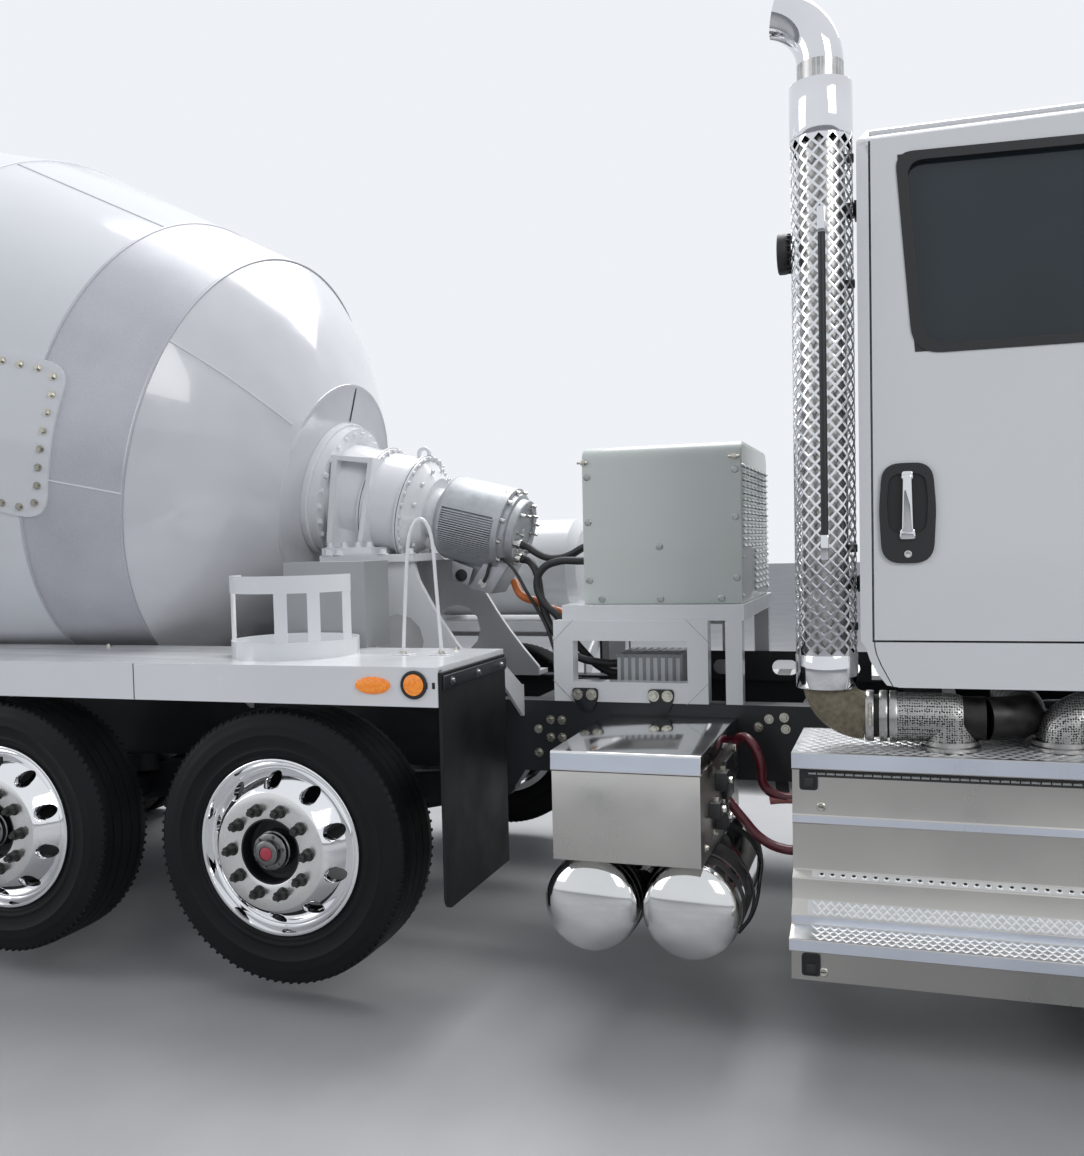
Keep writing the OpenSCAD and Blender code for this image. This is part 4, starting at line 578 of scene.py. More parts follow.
def nuts(form, face, out):
    """Ten flange nuts on their studs round a disc whose bolting face lies at face."""
    for i in range(10):
        at = polar(stud_r, 36 * i, face)
        form.rod(at, at + Vector((0, 0, out * 0.009)), 0.0225, dark, 20, 0.0195)
        form.rod(at, at + Vector((0, 0, out * 0.033)), 0.0195, dark, 6, 0.0185)
        form.rod(at, at + Vector((0, 0, out * 0.05)), 0.0105, dark, 12, 0.0095)


disc_mesh, disc_finishes = disc()


def single_wheel():
    form = Form()
    form.add(disc_mesh, disc_finishes)
    nuts(form, 0.167, 1)
    form.turned([(0.1095, 0.1655), (0.1095, 0.115), (0.088, 0.112), (0.088, -0.062), (0.0425, -0.062),
                 (0.0425, 0.1), (0.058, 0.112), (0.07, 0.108), (0.1, 0.108), (0.1045, 0.118), (0.1045, 0.1655)],
                black_and_painted_shade)
    form.turned([(0, 0.11), (0.0655, 0.11), (0.0655, 0.15), (0.0615, 0.153), (0.0615, 0.1685), (0.058, 0.1715),
                 (0.043, 0.1725), (0.0415, 0.191), (0.0385, 0.1935), (0.024, 0.1935), (0.0235, 0.188), (0, 0.188)],
                capped, steps=48, closed=False)
    form.turned([(0, 0.1945), (0.018, 0.1942), (0.0215, 0.1925), (0.0225, 0.1885)], plug_red, steps=32, closed=False)
    for i in range(6):
        form.bolt(polar(0.0515, 60 * i + 12, 0.1715), (0, 0, 1), 0.0045, capped, 0.005)
    form.rod((0, 0, 0.1), (0, 0, 0.11), 0.09, black_and_painted_shade, 32)
    return form.kept("single_wheel")


twin_half = 0.167   # half the distance between twin tyres


def twin_wheel():
    form = Form()
    form.add(disc_mesh, disc_finishes, move(0, 0, twin_half) @ Matrix.Diagonal((1, 1, -1, 1)))
    form.add(disc_mesh, disc_finishes, move(0, 0, -twin_half))
    nuts(form, 0.022, 1)
    form.turned([(0.165, -0.052), (0.165, -0.022), (0.109, -0.021), (0.109, 0.021), (0.1, 0.024), (0.1, 0.108),
                 (0.092, 0.116), (0.08, 0.118), (0.08, 0.146), (0.076, 0.15), (0, 0.15), (0, 0.14),
                 (0.07, 0.08), (0.0625, 0.078), (0.0625, -0.18), (0.1, -0.18), (0.1, -0.052)], black, steps=48)
    for i in range(8):
        form.bolt(polar(0.09, 45 * i, 0.115), (0, 0, 1), 0.0065, zinc, 0.007)
    return form.kept("twin_wheel")


def wheel_set(where, side, body, x, y, z, wheel, tyre_made, shifts=(0,)):
    """A hub with its discs and tyres, set on the axle's end with its face outward."""
    sign = 1 if side == "left" else -1
    spot = move(x, sign * y, z) @ turn_by(-90 * sign, "X")
    metal_form, rubber_form = Form(), Form()
    metal_form.add(*wheel, spot)
    for shift in shifts:
        rubber_form.add(*tyre_made, spot @ move(0, 0, shift))
    count = "s_" if len(shifts) == 2 else "_"
    for form, kind, made_of in ((metal_form, "_wheel", "_forged"), (rubber_form, "_tyre", "_rubber")):
        node = where + kind + count + side
        form.done(node + made_of, body, node, 40)


single, twin = single_wheel(), twin_wheel()
low_tyre, rib_tyre, lug_tyre = tyre(0.464, 0.255, False), tyre(0.52, 0.279, False), tyre(0.52, 0.279, True)
for side in ("left", "right"):
    wheel_set("steer", side, "steer_wheel_" + side, 4.53, 1.045, 0.52, single, rib_tyre)
    for where, x in (("pusher_front", 0.57), ("pusher_rear", -0.595)):
        wheel_set(where, side, where + "_" + side, x, 1.088, 0.57, single, low_tyre)
    for where, x in (("drive_front", -1.87), ("drive_rear", -3.19)):
        wheel_set(where, side, where + "_" + side, x, 0.915, 0.52, twin, lug_tyre, (-twin_half, twin_half))

# Drum: welded steel sheet rings, sprayed gloss white. The ring behind the nose is silver grey. A
# bolted hatch is in its side, and the worn steel track behind the belly runs on the rollers.
drum_tilt = 13.84
nose_end, band_end, belly_start, belly_end, mouth, track = 0.408, 0.8, 1.55, 2.25, 4.05, 3.35
drum_axis = move(0.203, 0, 1.814) @ turn_by(drum_tilt - 90, "Y")
white = enamel("white_paint", (0.8, 0.81, 0.825), 0.24)
drum_white = enamel("drum_white", (0.74, 0.75, 0.775), 0.16)
drum_white.relief(drum_white.grain(2.1, 2) + drum_white.grain(140, 2) * 0.02, 0.02, 0.3)
nose_white = Finish("nose_white", (0.66, 0.665, 0.69), {"Coat Weight": 0.6, "Coat Roughness": 0.04})
sheen = nose_white.step(nose_white.grain(1.7, 3), 0.35, 0.65)
nose_white.shaded(sheen, (0.6, 0.605, 0.635), (0.7, 0.705, 0.725), 0.06, 0.14)
nose_white.relief(nose_white.grain(3, 2) + nose_white.grain(160, 2) * 0.01, 0.022, 0.35)
band_grey = Finish("drum_band_grey", (0.55, 0.55, 0.585), {"Metallic": 0.25})
fleck = band_grey.grain(420, 2)
band_grey.coat(Base_Color=band_grey.blend(band_grey.step(fleck + band_grey.grain(3, 3) * 0.6, 0.55, 1.05),
                                          (0.44, 0.44, 0.48), (0.62, 0.62, 0.65)), Roughness=fleck * 0.2 + 0.28)
band_grey.relief(fleck, 0.0006, 0.5)
worn = metal("worn_track", (0.26, 0.25, 0.24), 0.38, 0.4, 18)


def shell_r(s):
    """The drum's outer radius at the distance s from its flange."""
    line = ((0.028, 0.461), (0.12, 0.604), (0.22, 0.747), (0.314, 0.848), (nose_end, 0.936), (band_end, 1.03),
            (belly_start, 1.2), (belly_end, 1.2), (mouth, 0.59))
    for (s0, r0), (s1, r1) in zip(line, line[1:]):
        if s <= s1:
            return r0 + (r1 - r0) * (s - s0) / (s1 - s0)
    return line[-1][1]


def on_drum(turn, s, out=0):
    """The place on the drum's shell at a turn in degrees from its top."""
    return drum_axis @ polar(shell_r(s) + out, turn, s)


def drum_pieces(form):
    for stations, finish in (((0.028, 0.12, 0.22, 0.314, nose_end), nose_white), ((nose_end, band_end), band_grey),
                             ((band_end, belly_start, belly_end, mouth), drum_white)):
        outer = [(shell_r(s), s) for s in stations]
        form.turned(outer + [(r - 0.008, s) for r, s in reversed(outer)], finish, drum_axis, 144)
    form.turned([(0, 0.03), (0.3, 0.03), (0.436, 0.03), (0.44, 0.0285), (0.466, 0.0285), (0.4675, 0.034),
                 (0.4675, 0.048), (0.462, 0.052), (0, 0.056)], nose_white, drum_axis, 128, False)
    form.turned([(0, 0.0005), (0.297, 0.0005), (0.3, 0.003), (0.3, 0.029), (0, 0.029)], white, drum_axis, 96,
                False)
    # Weld seams: one round the shell at each ring's end, and two lengthwise ones on each ring.
    for s in (nose_end, band_end, belly_start, belly_end):
        form.turned(arc(0.0045, 0, 300, 5, shell_r(s), s, 0.008), drum_white if s > 1 else band_grey, drum_axis, 144)
    for first, second, low, high in ((300, 120, 0.05, 0.405), (262, 80, 0.41, 0.795), (335, 155, 0.81, 1.54),
                                     (20, 200, 1.56, 2.24), (310, 130, 2.26, 4)):
        for turn in (first, second):
            points = [on_drum(turn, low + (high - low) * k / 6) for k in range(7)]
            form.hose(points, 0.0042, nose_white if high < nose_end else drum_white, 2, 1)
    form.block((0.305, -0.0035, 0.0265), (0.452, 0.0035, 0.029), black_and_painted_shade, 0.0005, drum_axis)
    # The roller track and the rolled edge of the mouth.
    inner = shell_r(track) - 0.012
    form.turned([(inner, 3.297), (0.872, 3.295), (0.8795, 3.3), (0.8802, 3.306), (0.8802, 3.394), (0.8795, 3.4),
                 (0.872, 3.405), (inner, 3.403)], worn, drum_axis, 144)
    for s, sign in ((track - 0.06, -1), (track + 0.06, 1)):
        for i in range(24):
            turn = turn_by(15 * i, "Z")
            base = shell_r(s)
            form.plate([(base - 0.03, 0), (base + 0.045, 0), (base - 0.012 * sign + 0.01, sign * 0.07),
                        (base - 0.04, sign * 0.07)], (-0.005, 0.005), drum_white, 0.001,
                       drum_axis @ turn @ move(0, 0, s) @ turn_by(90, "X"))
    form.turned(arc(0.012, 0, 330, 11, 0.59, mouth - 0.004), drum_white, drum_axis, 96)
    # Two helical fins, worn bright by the load, inside the mouth.
    for start in (0, 180):
        rows = []
        for k in range(61):
            s, a = 2.9 + k * 0.018, start + k * 11
            outer, inner = shell_r(s) - 0.006, shell_r(s) - 0.26
            rows.append([polar(outer, a, s), polar(inner, a, s + 0.03), polar(inner, a, s + 0.038),
                         polar(outer, a, s + 0.008)])
        form.loft(rows, worn, drum_axis)


hatch_half, hatch_low, hatch_high, hatch_lift = 0.3, 0.69, 1.19, 0.0095


def hatch():
    """The hatch plate with its rolled corners, cut out of a shell that lies 10 mm over the drum's."""
    over, cutter = Form(), Form()
    levels = (0.6, 0.8, 1.3)
    over.turned([(shell_r(s) + hatch_lift, s) for s in levels] + [(shell_r(s), s) for s in reversed(levels)],
                drum_white, Matrix(), 288)
    cutter.plate(rounded_box(-hatch_half, hatch_low, hatch_half, hatch_high, 0.11, 8), (0.6, 1.4), drum_white, 0,
                 turn_by(90, "X"))
    return carved(over.gather("over"), cutter.gather("cutter"), "INTERSECT")


form = Form()
drum_pieces(form)
form.add(hatch(), drum_white, drum_axis)
inset, screws = 0.036, 26
corners = rounded_box(inset - hatch_half, hatch_low + inset, hatch_half - inset, hatch_high - inset, 0.07, 6)
lengths = [(Vector(b) - Vector(a)).length for a, b in zip(corners, corners[1:] + corners[:1])]
for i in range(screws):
    walk, k = sum(lengths) * i / screws, 0
    while walk > lengths[k]:
        walk, k = walk - lengths[k], k + 1
    x, s = Vector(corners[k]).lerp(Vector(corners[(k + 1) % len(corners)]), walk / max(lengths[k], 1e-9))
    r = shell_r(s) + hatch_lift
    spot = Vector((x, -sqrt(r * r - x * x), s))
    out = drum_axis.to_3x3() @ Vector((x, spot.y, -0.2 * r))
    form.bolt(drum_axis @ spot, out, 0.0105, zinc, 0.011, 1.5)
form.done("drum_shell", "drum", "drum", 24)


# Front pedestal: welded plate with a bent flange, painted white. It is bolted to the rails and carries
# the gearbox; the round hole is an access hole.
def pedestal_trim(form):
    for side in (-1, 1):
        for x in (0.46, 0.6, 0.74, 0.88, 0.96):
            form.bolt((x, side * 0.38, 0.991), (0, 0, 1), 0.014, white, 0.016)
        for x in (0.312, 0.36, 0.56, 0.68):
            form.bolt((x, side * 0.345, 1.533), (0, 0, 1), 0.016, white, 0.018)
        form.hose([(0.421, side * 0.298, 0.98), (0.425, side * 0.298, 1.5)], 0.005, white, 2, 1)


dress("front_pedestal", "chassis", white, 0.004, more=pedestal_trim)

# Drum gearbox: cast planetary housing in white paint. Its ring flanges are bolted all round, and its
# base is bolted to the front pedestal.
front_axis = drum_axis @ Matrix.Diagonal((1, 1, -1, 1))


def ring_bolts(form, count, r, z, size, finish, start=0, height=None):
    along = front_axis.to_3x3() @ Vector((0, 0, 1))
    for i in range(count):
        form.bolt(front_axis @ polar(r, start + 360 * i / count, z), along, size, finish, height, 1.35)


def gearbox_trim(form):
    ring_bolts(form, 24, 0.262, 0.04, 0.0115, white)
    for z in (0.222, 0.394):
        ring_bolts(form, 28, 0.2245, z, 0.0085, white, 4)
    ring_bolts(form, 12, 0.186, 0.4335, 0.009, white, 8)
    ring_bolts(form, 8, 0.095, 0.502, 0.008, dark, 20)
    for z in (0.211, 0.383):
        form.band(0.2325, 0.2345, z - 0.001, z + 0.001, dark, front_axis, 72)
    for side in (-1, 1):
        for x in (0.275, 0.34, 0.405, 0.455):
            form.bolt((x, side * 0.258, 1.5635), (0, 0, 1), 0.015, white, 0.018)


dress("gearbox", "chassis", white, 0.005, more=gearbox_trim)

# Drive motor: cast aluminium with lengthwise cooling fins, end bells held by studs, and a
# terminal box under it.
cast = Finish("cast_aluminium", (0.44, 0.455, 0.475), {"Metallic": 0.45})
cast_cloud = cast.step(cast.grain(30, 5), 0.3, 0.7)
cast.shaded(cast_cloud, (0.39, 0.405, 0.425), (0.48, 0.495, 0.515), 0.14, 0.4)
cast.relief(cast.grain(260, 2), 0.0005, 0.5)
plated = metal("plated_steel", (0.7, 0.69, 0.66), 0.22, 0.2, 50)
fins, motor_end = (0.546, 0.792), 0.8705
form = Form()
form.turned([(0, 0.5025), (0.123, 0.5025), (0.125, 0.505), (0.125, 0.52), (0.15, 0.522), (0.168, 0.53),
             (0.176, 0.54), (0.178, 0.552), (0.162, 0.554), (0.162, 0.786), (0.179, 0.788), (0.18, 0.792),
             (0.18, 0.812), (0.176, 0.815), (0.16, 0.817), (0.158, 0.835), (0.15, 0.838), (0.142, 0.84),
             (0.14, 0.845), (0.14, 0.866), (0.136, 0.8705), (0.105, 0.8705), (0.103, 0.862), (0.02, 0.862),
             (0.018, 0.8705), (0, 0.8705)], cast, front_axis, 96, False)
for degrees in [78 + 3.2 * k for k in range(29)] + [192 + 3.2 * k for k in range(29)]:
    turn = front_axis @ turn_by(degrees, "Z")
    form.block((0.155, -0.0026, fins[0]), (0.1785, 0.0026, fins[1]), cast, 0.001, turn)
for first, last in ((-75, 75), (170, 190)):
    form.plate(arc(0.1785, first, last, 24) + arc(0.155, last, first, 24), fins, cast, 0.001, front_axis)
for degrees in (-75, -25, 25, 75, 180):
    turn = front_axis @ turn_by(degrees, "Z")
    form.block((0.16, -0.012, 0.78), (0.18, 0.012, 0.812), cast, 0.003, turn)
ring_bolts(form, 12, 0.169, 0.8165, 0.0075, plated, 15, 0.012)
ring_bolts(form, 6, 0.12, motor_end, 0.0075, plated, 10, 0.016)
ring_bolts(form, 6, 0.088, 0.862, 0.006, plated, 30, 0.03)
for y, down in ((-0.095, 0.04), (-0.06, 0.1)):
    start = front_axis @ Vector((-down, y, motor_end))
    along = front_axis.to_3x3() @ Vector((0, 0, 1))
    form.rod(start, start + along * 0.03, 0.021, plated, 24, edge=0.002)
    form.rod(start + along * 0.028, start + along * 0.046, 0.018, dark, 24, edge=0.002)
right_side = turn_by(90, "X")
form.plate([(-0.13, 0.76), (-0.13, 0.862), (-0.271, 0.811), (-0.271, 0.707)], (-0.09, 0.09), cast, 0.004,
           front_axis @ right_side)
form.bolt(front_axis @ Vector((-0.235, -0.0905, 0.765)), (0, -1, 0), 0.012, plated, 0.012)
form.plate([(-0.176, 0.6), (-0.186, 0.7), (-0.262, 0.692), (-0.258, 0.612)], (0.05, 0.062), cast, 0.002,
           front_axis @ right_side)
form.rod(front_axis @ Vector((-0.228, -0.045, 0.655)), front_axis @ Vector((-0.228, -0.07, 0.655)), 0.026, black_and_painted_shade,
         24, edge=0.002)
form.block((-0.262, -0.05, 0.6), (-0.176, 0.05, 0.625), cast, 0.003, front_axis)
form.block((-0.262, -0.02, 0.61), (-0.15, 0.02, 0.72), cast, 0.003, front_axis)
form.done("drive_motor_cast", "chassis", "drive_motor", 35)

# Cables and hoses: black rubber power cables, thin black ones, an orange one, and red hoses with a
# pink end. They run from port to port at the places of the CAD's cords.
sheath = Finish("cable_black", (0.018, 0.018, 0.02), {})
weave = sheath.grain(90, 2)
sheath.shaded(weave, (0.012, 0.012, 0.013), (0.028, 0.028, 0.03), 0.2, 0.4)
sheath.relief(weave, 0.0008, 0.5)
hose_red = enamel("hose_red", (0.17, 0.012, 0.028), 0.35, 0.25)
hose_pink = enamel("hose_pink", (0.72, 0.26, 0.25), 0.4, 0.2)
orange = enamel("conduit_orange", (0.78, 0.2, 0.03), 0.45, 0.25)


def cap_point(y, below, ahead):
    return tuple(front_axis @ Vector((-below, y, motor_end - 0.0002 + ahead)))


form = Form()
for points in (
    [cap_point(-0.095, 0.04, 0.003), cap_point(-0.095, 0.04, 0.048), (1.131, -0.1, 1.527), (1.18, -0.105, 1.506),
     (1.236, -0.115, 1.502), (1.285, -0.125, 1.514), (1.355, -0.14, 1.546), (1.4117, -0.14, 1.548)],
    [cap_point(-0.06, 0.1, 0.003), cap_point(-0.06, 0.1, 0.045), (1.108, -0.09, 1.481), (1.138, -0.11, 1.434),
     (1.154, -0.12, 1.353), (1.173, -0.13, 1.286), (1.207, -0.15, 1.226), (1.31, -0.21, 1.125),
     (1.45, -0.235, 1.092), (1.5157, -0.235, 1.092)],
    [(1.4117, -0.2, 1.49), (1.35, -0.2, 1.491), (1.248, -0.19, 1.489), (1.185, -0.185, 1.46),
     (1.159, -0.18, 1.4), (1.182, -0.18, 1.333), (1.243, -0.185, 1.273), (1.33, -0.18, 1.15),
     (1.45, -0.17, 1.05), (1.5157, -0.17, 1.048)],
):
    form.hose(points, 0.0155, sheath, 5)
form.hose([(0.972, -0.1, 1.514), (1.03, -0.12, 1.472), (1.1, -0.14, 1.37), (1.186, -0.16, 1.233),
           (1.25, -0.22, 1.12), (1.36, -0.3, 1.04), (1.52, -0.26, 1.03)], 0.007, sheath)
form.hose([(0.965, -0.1, 1.512), (0.935, -0.1, 1.49), (0.905, -0.1, 1.42), (0.88, -0.095, 1.395)], 0.007,
          sheath)
form.hose([(1.02, -0.06, 1.407), (1.069, -0.11, 1.352), (1.14, -0.115, 1.324), (1.196, -0.12, 1.297),
           (1.245, -0.14, 1.285), (1.335, -0.15, 1.24)], 0.017, orange, 5)
for points in ([(1.9903, -0.56, 0.845), (2.02, -0.57, 0.88), (2.06, -0.6, 0.868), (2.092, -0.615, 0.8),
                (2.105, -0.61, 0.72), (2.15, -0.605, 0.69), (2.2447, -0.6, 0.685)],
               [(1.9903, -0.72, 0.7), (2.04, -0.722, 0.64), (2.11, -0.73, 0.57), (2.18, -0.74, 0.545),
                (2.2447, -0.74, 0.545)]):
    form.hose(points, 0.016, hose_red, 5)
form.hose([(2.121, -0.6, 0.675), (2.155, -0.6, 0.68), (2.2447, -0.6, 0.683)], 0.0185, hose_pink, 5)
form.done("cables_and_hoses", "chassis", "cables", 50)

# Decks: folded steel plate in white with a deep outer lip; bucket holder, hoop and the bare grey
# box stand on the right one, the water tank on the left one.
grey_box = enamel("box_grey", (0.36, 0.37, 0.38), 0.4, 0.15)
deck_top, deck_edge = 1.187, 1.2453


def deck_trim(form):
    # The box is one solid with the deck that it stands on, so its part of the mesh is picked by place.
    form.coat([v for v in form.mesh.verts if 0.29 < v.co.x < 0.65 and -0.68 < v.co.y < -0.46 and v.co.z > 1.4],
              grey_box)
    for x, y in ((0.885, -0.865), (0.905, -0.895), (1.03, -0.865), (1.05, -0.895)):
        form.bolt((x, y, 1.1905), (0, 0, 1), 0.008, zinc, 0.009)
    for x in (0.897, 1.04):
        form.block((x - 0.035, -0.91, deck_top), (x + 0.035, -0.85, 1.191), white)
    # Two small slots in the lip, drawn as dark plates: painted shade.
    for x in (1.139, 1.164):
        form.block((x, -1.2462, 1.12), (x + 0.01, -1.2445, 1.14), black_and_painted_shade, 0.0005)
    for x in (0.05, -0.9, -2, -3.1):
        for side in (-1, 1):
            y = side * deck_edge
            form.block((x - 0.0015, y - 0.0006, 1.063), (x + 0.0015, y + 0.0006, 1.186), dark, 0)
    for x in (1.02, 0.3, -0.5, -1.5, -2.6, -3.6):
        for side in (-1, 1):
            form.bolt((x, side * 0.7, deck_top), (0, 0, 1), 0.009, zinc, 0.008)


dress("decks", "chassis", white, 0.004, more=deck_trim)

# Mud flaps: sheets of stiff black rubber before the pusher wheels and behind the drive wheels. Each
# hangs from three screws through a steel strip at its upper edge.
flap = Finish("flap_rubber", (0.01, 0.0105, 0.0115), {"Specular IOR Level": 0.3})
flap_dust = flap.step(flap.grain(4, 5), 0.4, 0.8)
flap.shaded(flap_dust, (0.006, 0.0065, 0.008), (0.014, 0.0138, 0.0135), 0.25, 0.42)
flap.relief(flap.grain(3.5, 2), 0.02, 0.4)
screw_dull = metal("screw_dull", (0.3, 0.3, 0.3), 0.4, 0.3, 50)


def flap_trim(form):
    for side in (-1, 1):
        y = side * 0.955
        for x, out in ((1.1943, 1), (-3.8123, -1)):
            form.block((x - 0.004 + 0.004 * out, y - 0.28, 1.118), (x + 0.004 + 0.004 * out, y + 0.28, 1.16), black)
            for dy in (-0.22, 0, 0.22):
                form.bolt((x + 0.008 * out, y + dy, 1.139), (out, 0, 0), 0.009, screw_dull, 0.008)


dress("mud_flaps", "chassis", flap, 0.003, more=flap_trim)


# Lamps: moulded amber and red lenses, pressed into black rubber rings on the deck's edge, the rear
# beam and the roof, and a finned work lamp with a clear lens behind the cab.
def ribbed_lens(name, colour, light, deep):
    """Moulded lens plastic with fine ribs, and the pattern of its ribs."""
    finish = Finish(name, colour, {"Coat Weight": 0.8})
    ribs = finish.cells(130)
    finish.coat(Base_Color=finish.blend(ribs * 1.6, light, deep), Roughness=ribs * 0.2 + 0.12)
    finish.relief(ribs, 0.001, 0.6)
    return finish, ribs


amber, ribs = ribbed_lens("amber_lens", (0.85, 0.25, 0.015), (1, 0.38, 0.03), (0.85, 0.22, 0.01))
# The amber lenses glow faintly: a painted glow, with no lamp lit inside them.
amber.shader.inputs["Emission Strength"].default_value = 0.25
amber.coat(Emission_Color=amber.blend(ribs, (0.9, 0.3, 0.02), (0.6, 0.12, 0)))
red_lens, ribs = ribbed_lens("red_lens", (0.42, 0.012, 0.012), (0.55, 0.02, 0.02), (0.3, 0.006, 0.006))
clear_lens = Finish("clear_lens", (0.75, 0.77, 0.78), {"Metallic": 0.7})
cells = clear_lens.cells(60)
clear_lens.shaded(cells, (0.85, 0.87, 0.88), (0.45, 0.46, 0.47), 0.3, 0.08)
clear_lens.relief(cells, 0.002, 0.6)
rubber_black = matt("rubber_black", (0.014, 0.0145, 0.016), {}, 40, 0.25, 0.38)
rubber_black.relief(rubber_black.grain(300, 2), 0.0003, 0.4)
left_side = Matrix.Diagonal((1, -1, 1, 1)) @ right_side


def round_lamp(form, place, lens, r, deep):
    """A round lamp about its own Z in a rubber ring."""
    form.turned([(0, 0.001), (r, 0.001), (r, deep * 0.45), (r * 0.96, deep * 0.62), (r * 0.8, deep * 0.64),
                 (r * 0.78, deep * 0.5), (0, deep * 0.5)], rubber_black, place, 40, False)
    form.turned([(0, deep * 0.4), (r * 0.76, deep * 0.4), (r * 0.75, deep * 0.66), (r * 0.6, deep * 0.84),
                 (r * 0.3, deep * 0.97), (0, deep)], lens, place, 40, False)


form = Form()
for side in (right_side, left_side):
    spot = side @ move(1.103, 1.132, deck_edge)
    round_lamp(form, spot, amber, 0.045, 0.012)
    form.plate(arc(0.061, 0, 350, 35, 0.96, 1.128, 0.0275), (deck_edge, 1.25), amber, 0.001, side)
    form.plate(arc(0.056, 0, 350, 35, 0.96, 1.128, 0.0225), (1.249, 1.2565), amber, 0.003, side)
back = turn_by(-90, "Y")
for y in (-0.33, -0.21, 0.21, 0.33):
    round_lamp(form, move(-4.0803, y, 0.84) @ back, red_lens, 0.05, 0.03)
spot = move(2.2497, -0.96, 2.415) @ back
form.turned([(0, 0), (0.03, 0), (0.052, 0.006), (0.058, 0.012), (0.06, 0.02), (0.06, 0.037), (0.057, 0.04),
             (0.052, 0.04), (0.05, 0.036), (0, 0.036)], rubber_black, spot, 48, False)
for k in range(18):
    turn = spot @ turn_by(20 * k, "Z")
    form.block((0.03, -0.002, 0.002), (0.0585, 0.002, 0.018), rubber_black, 0.0006, turn)
form.turned([(0, 0.034), (0.05, 0.034), (0.047, 0.0375), (0, 0.0392)], clear_lens, spot, 40, False)
for y in (-0.7, -0.2, 0, 0.2, 0.7):
    hull = rounded([(3.38, y - 0.045), (3.44, y - 0.03), (3.44, y + 0.03), (3.38, y + 0.045)], 0.012, 4)
    form.plate(hull, (2.7603, 2.768), rubber_black, 0.001)
    form.plate(shrunk(hull, 3.41, y, 0.88, 0.88), (2.767, 2.7855), amber, 0.004)
form.done("lamps_moulded", "chassis", "lamps", 40)

# Power cabinet: grey-green painted sheet steel. Its front is louvred, its panels are held by round
# headed screws and small latches. The plates' places stay bare.
cabinet_paint = enamel("cabinet_paint", (0.6, 0.63, 0.6), 0.42, 0.05)
screw_grey = metal("screw_grey", (0.42, 0.43, 0.43), 0.35, 0.2, 50)
form = Form()
low, high, back_x, face_x = 1.3303, 1.9193, 1.412, 2.0085
section = rounded_box(-0.375, low, 0.375, high, [0.004, 0.004, 0.062, 0.062], 8)
stand_x = Matrix(((0, 0, 1, 0), (1, 0, 0, 0), (0, 1, 0, 0), (0, 0, 0, 1)))
form.plate(section, (back_x, face_x - 0.0025), cabinet_paint, 0.003, stand_x)
face = rounded_box(-0.371, low + 0.004, 0.371, high - 0.004, [0.004, 0.004, 0.06, 0.06], 8)
form.plate(face, (face_x - 0.0035, face_x), cabinet_paint, 0.0015, stand_x)
for x, z in ((1.423, 1.807), (1.425, 1.638), (1.426, 1.419), (1.985, 1.815), (1.985, 1.645), (1.987, 1.424),
             (1.481, 1.349), (1.705, 1.349), (1.931, 1.351), (1.704, 1.542)):
    for side in (-1, 1):
        spot = move(x + (0.008 if x < 1.43 else 0), side * 0.375, z) @ turn_by(-90 * side, "X")
        form.turned([(0, 0), (0.013, 0), (0.0128, 0.002), (0.01, 0.0042), (0, 0.0048)], screw_grey, spot, 24,
                    False)
for x in (1.417, 1.984):
    form.rod((x - 0.022, -0.379, 1.862), (x + 0.018, -0.379, 1.862), 0.005, zinc, 12, edge=0.001)
    form.block((x - 0.008, -0.384, 1.852), (x + 0.008, -0.374, 1.872), zinc)
for column in range(7):
    y = -0.321 + 0.107 * column
    rows = [1.833 - 0.0241 * k for k in range(13)]
    if column > 2:
        rows += [1.52 - 0.024 * k for k in range(7)]
    for z in rows:
        form.plate([(0, 0.007), (0.0088, -0.0055), (0.0088, -0.007), (0, -0.007)], (-0.039, 0.039),
                   cabinet_paint, 0, move(face_x - 0.0002, y, z) @ turn_by(90, "X"))
        # Under each louvre hood a dark strip: painted shade in its opening.
        form.block((2.0084, y - 0.036, z - 0.0095), (2.0096, y + 0.036, z - 0.0065), black_and_painted_shade, 0)
for y in (-0.366, 0.366):
    for z in (1.36, 1.5, 1.66, 1.83):
        form.bolt((face_x, y, z), (1, 0, 0), 0.006, screw_grey, 0.005)
form.done("power_cabinet_sheet", "chassis", "power_cabinet", 30)

# Cabinet stand: mitred and welded white box section, on black two-bolt lugs. Under the cabinet a
# ribbed grey box stands on its cross plate.
ribbed = enamel("ribbed_box_grey", (0.4, 0.41, 0.42), 0.45, 0.2)


def stand_trim(form):
    for wide, narrow, bolts in (((1.377, 1.478), (1.413, 1.455), (1.398, 1.452)),
                                ((1.667, 1.763), (1.698, 1.74), (1.688, 1.739))):
        for side in (right_side, left_side):
            form.plate(rounded([(wide[0], 0.985), (narrow[0], 0.934), (narrow[1], 0.934), (wide[1], 0.985),
                                (wide[1], 1.022), (wide[0], 1.022)], 0.015, 4), (0.44, 0.447), black, 0.002, side)
            for x in bolts:
                at = side @ Vector((x, 0.998, 0.447))
                form.bolt(at, side.to_3x3() @ Vector((0, 0, 1)), 0.014, zinc, 0.012, 1.5)
    for side in (-1, 1):
        for x, z, lean in ((1.3435, 1.235, 45), (1.8505, 1.235, -45), (1.3435, 1.008, -45), (1.8505, 1.008, 45)):
            turn = move(x, side * 0.4402, z) @ turn_by(lean, "Y")
            form.block((-0.0009, -0.0008, -0.06), (0.0009, 0.0008, 0.06), screw_grey, 0, turn)
    for k in range(9):
        x = 1.53 + 0.0285 * k
        form.block((x, -0.3035, 1.004), (x + 0.012, -0.037, 1.137), ribbed)
    form.block((1.5135, -0.303, 0.999), (1.7735, -0.0375, 1.012), ribbed)
    form.block((1.5135, -0.303, 1.122), (1.7735, -0.0375, 1.1355), ribbed)


dress("cabinet_stand", "chassis", white, 0.004, more=stand_trim)

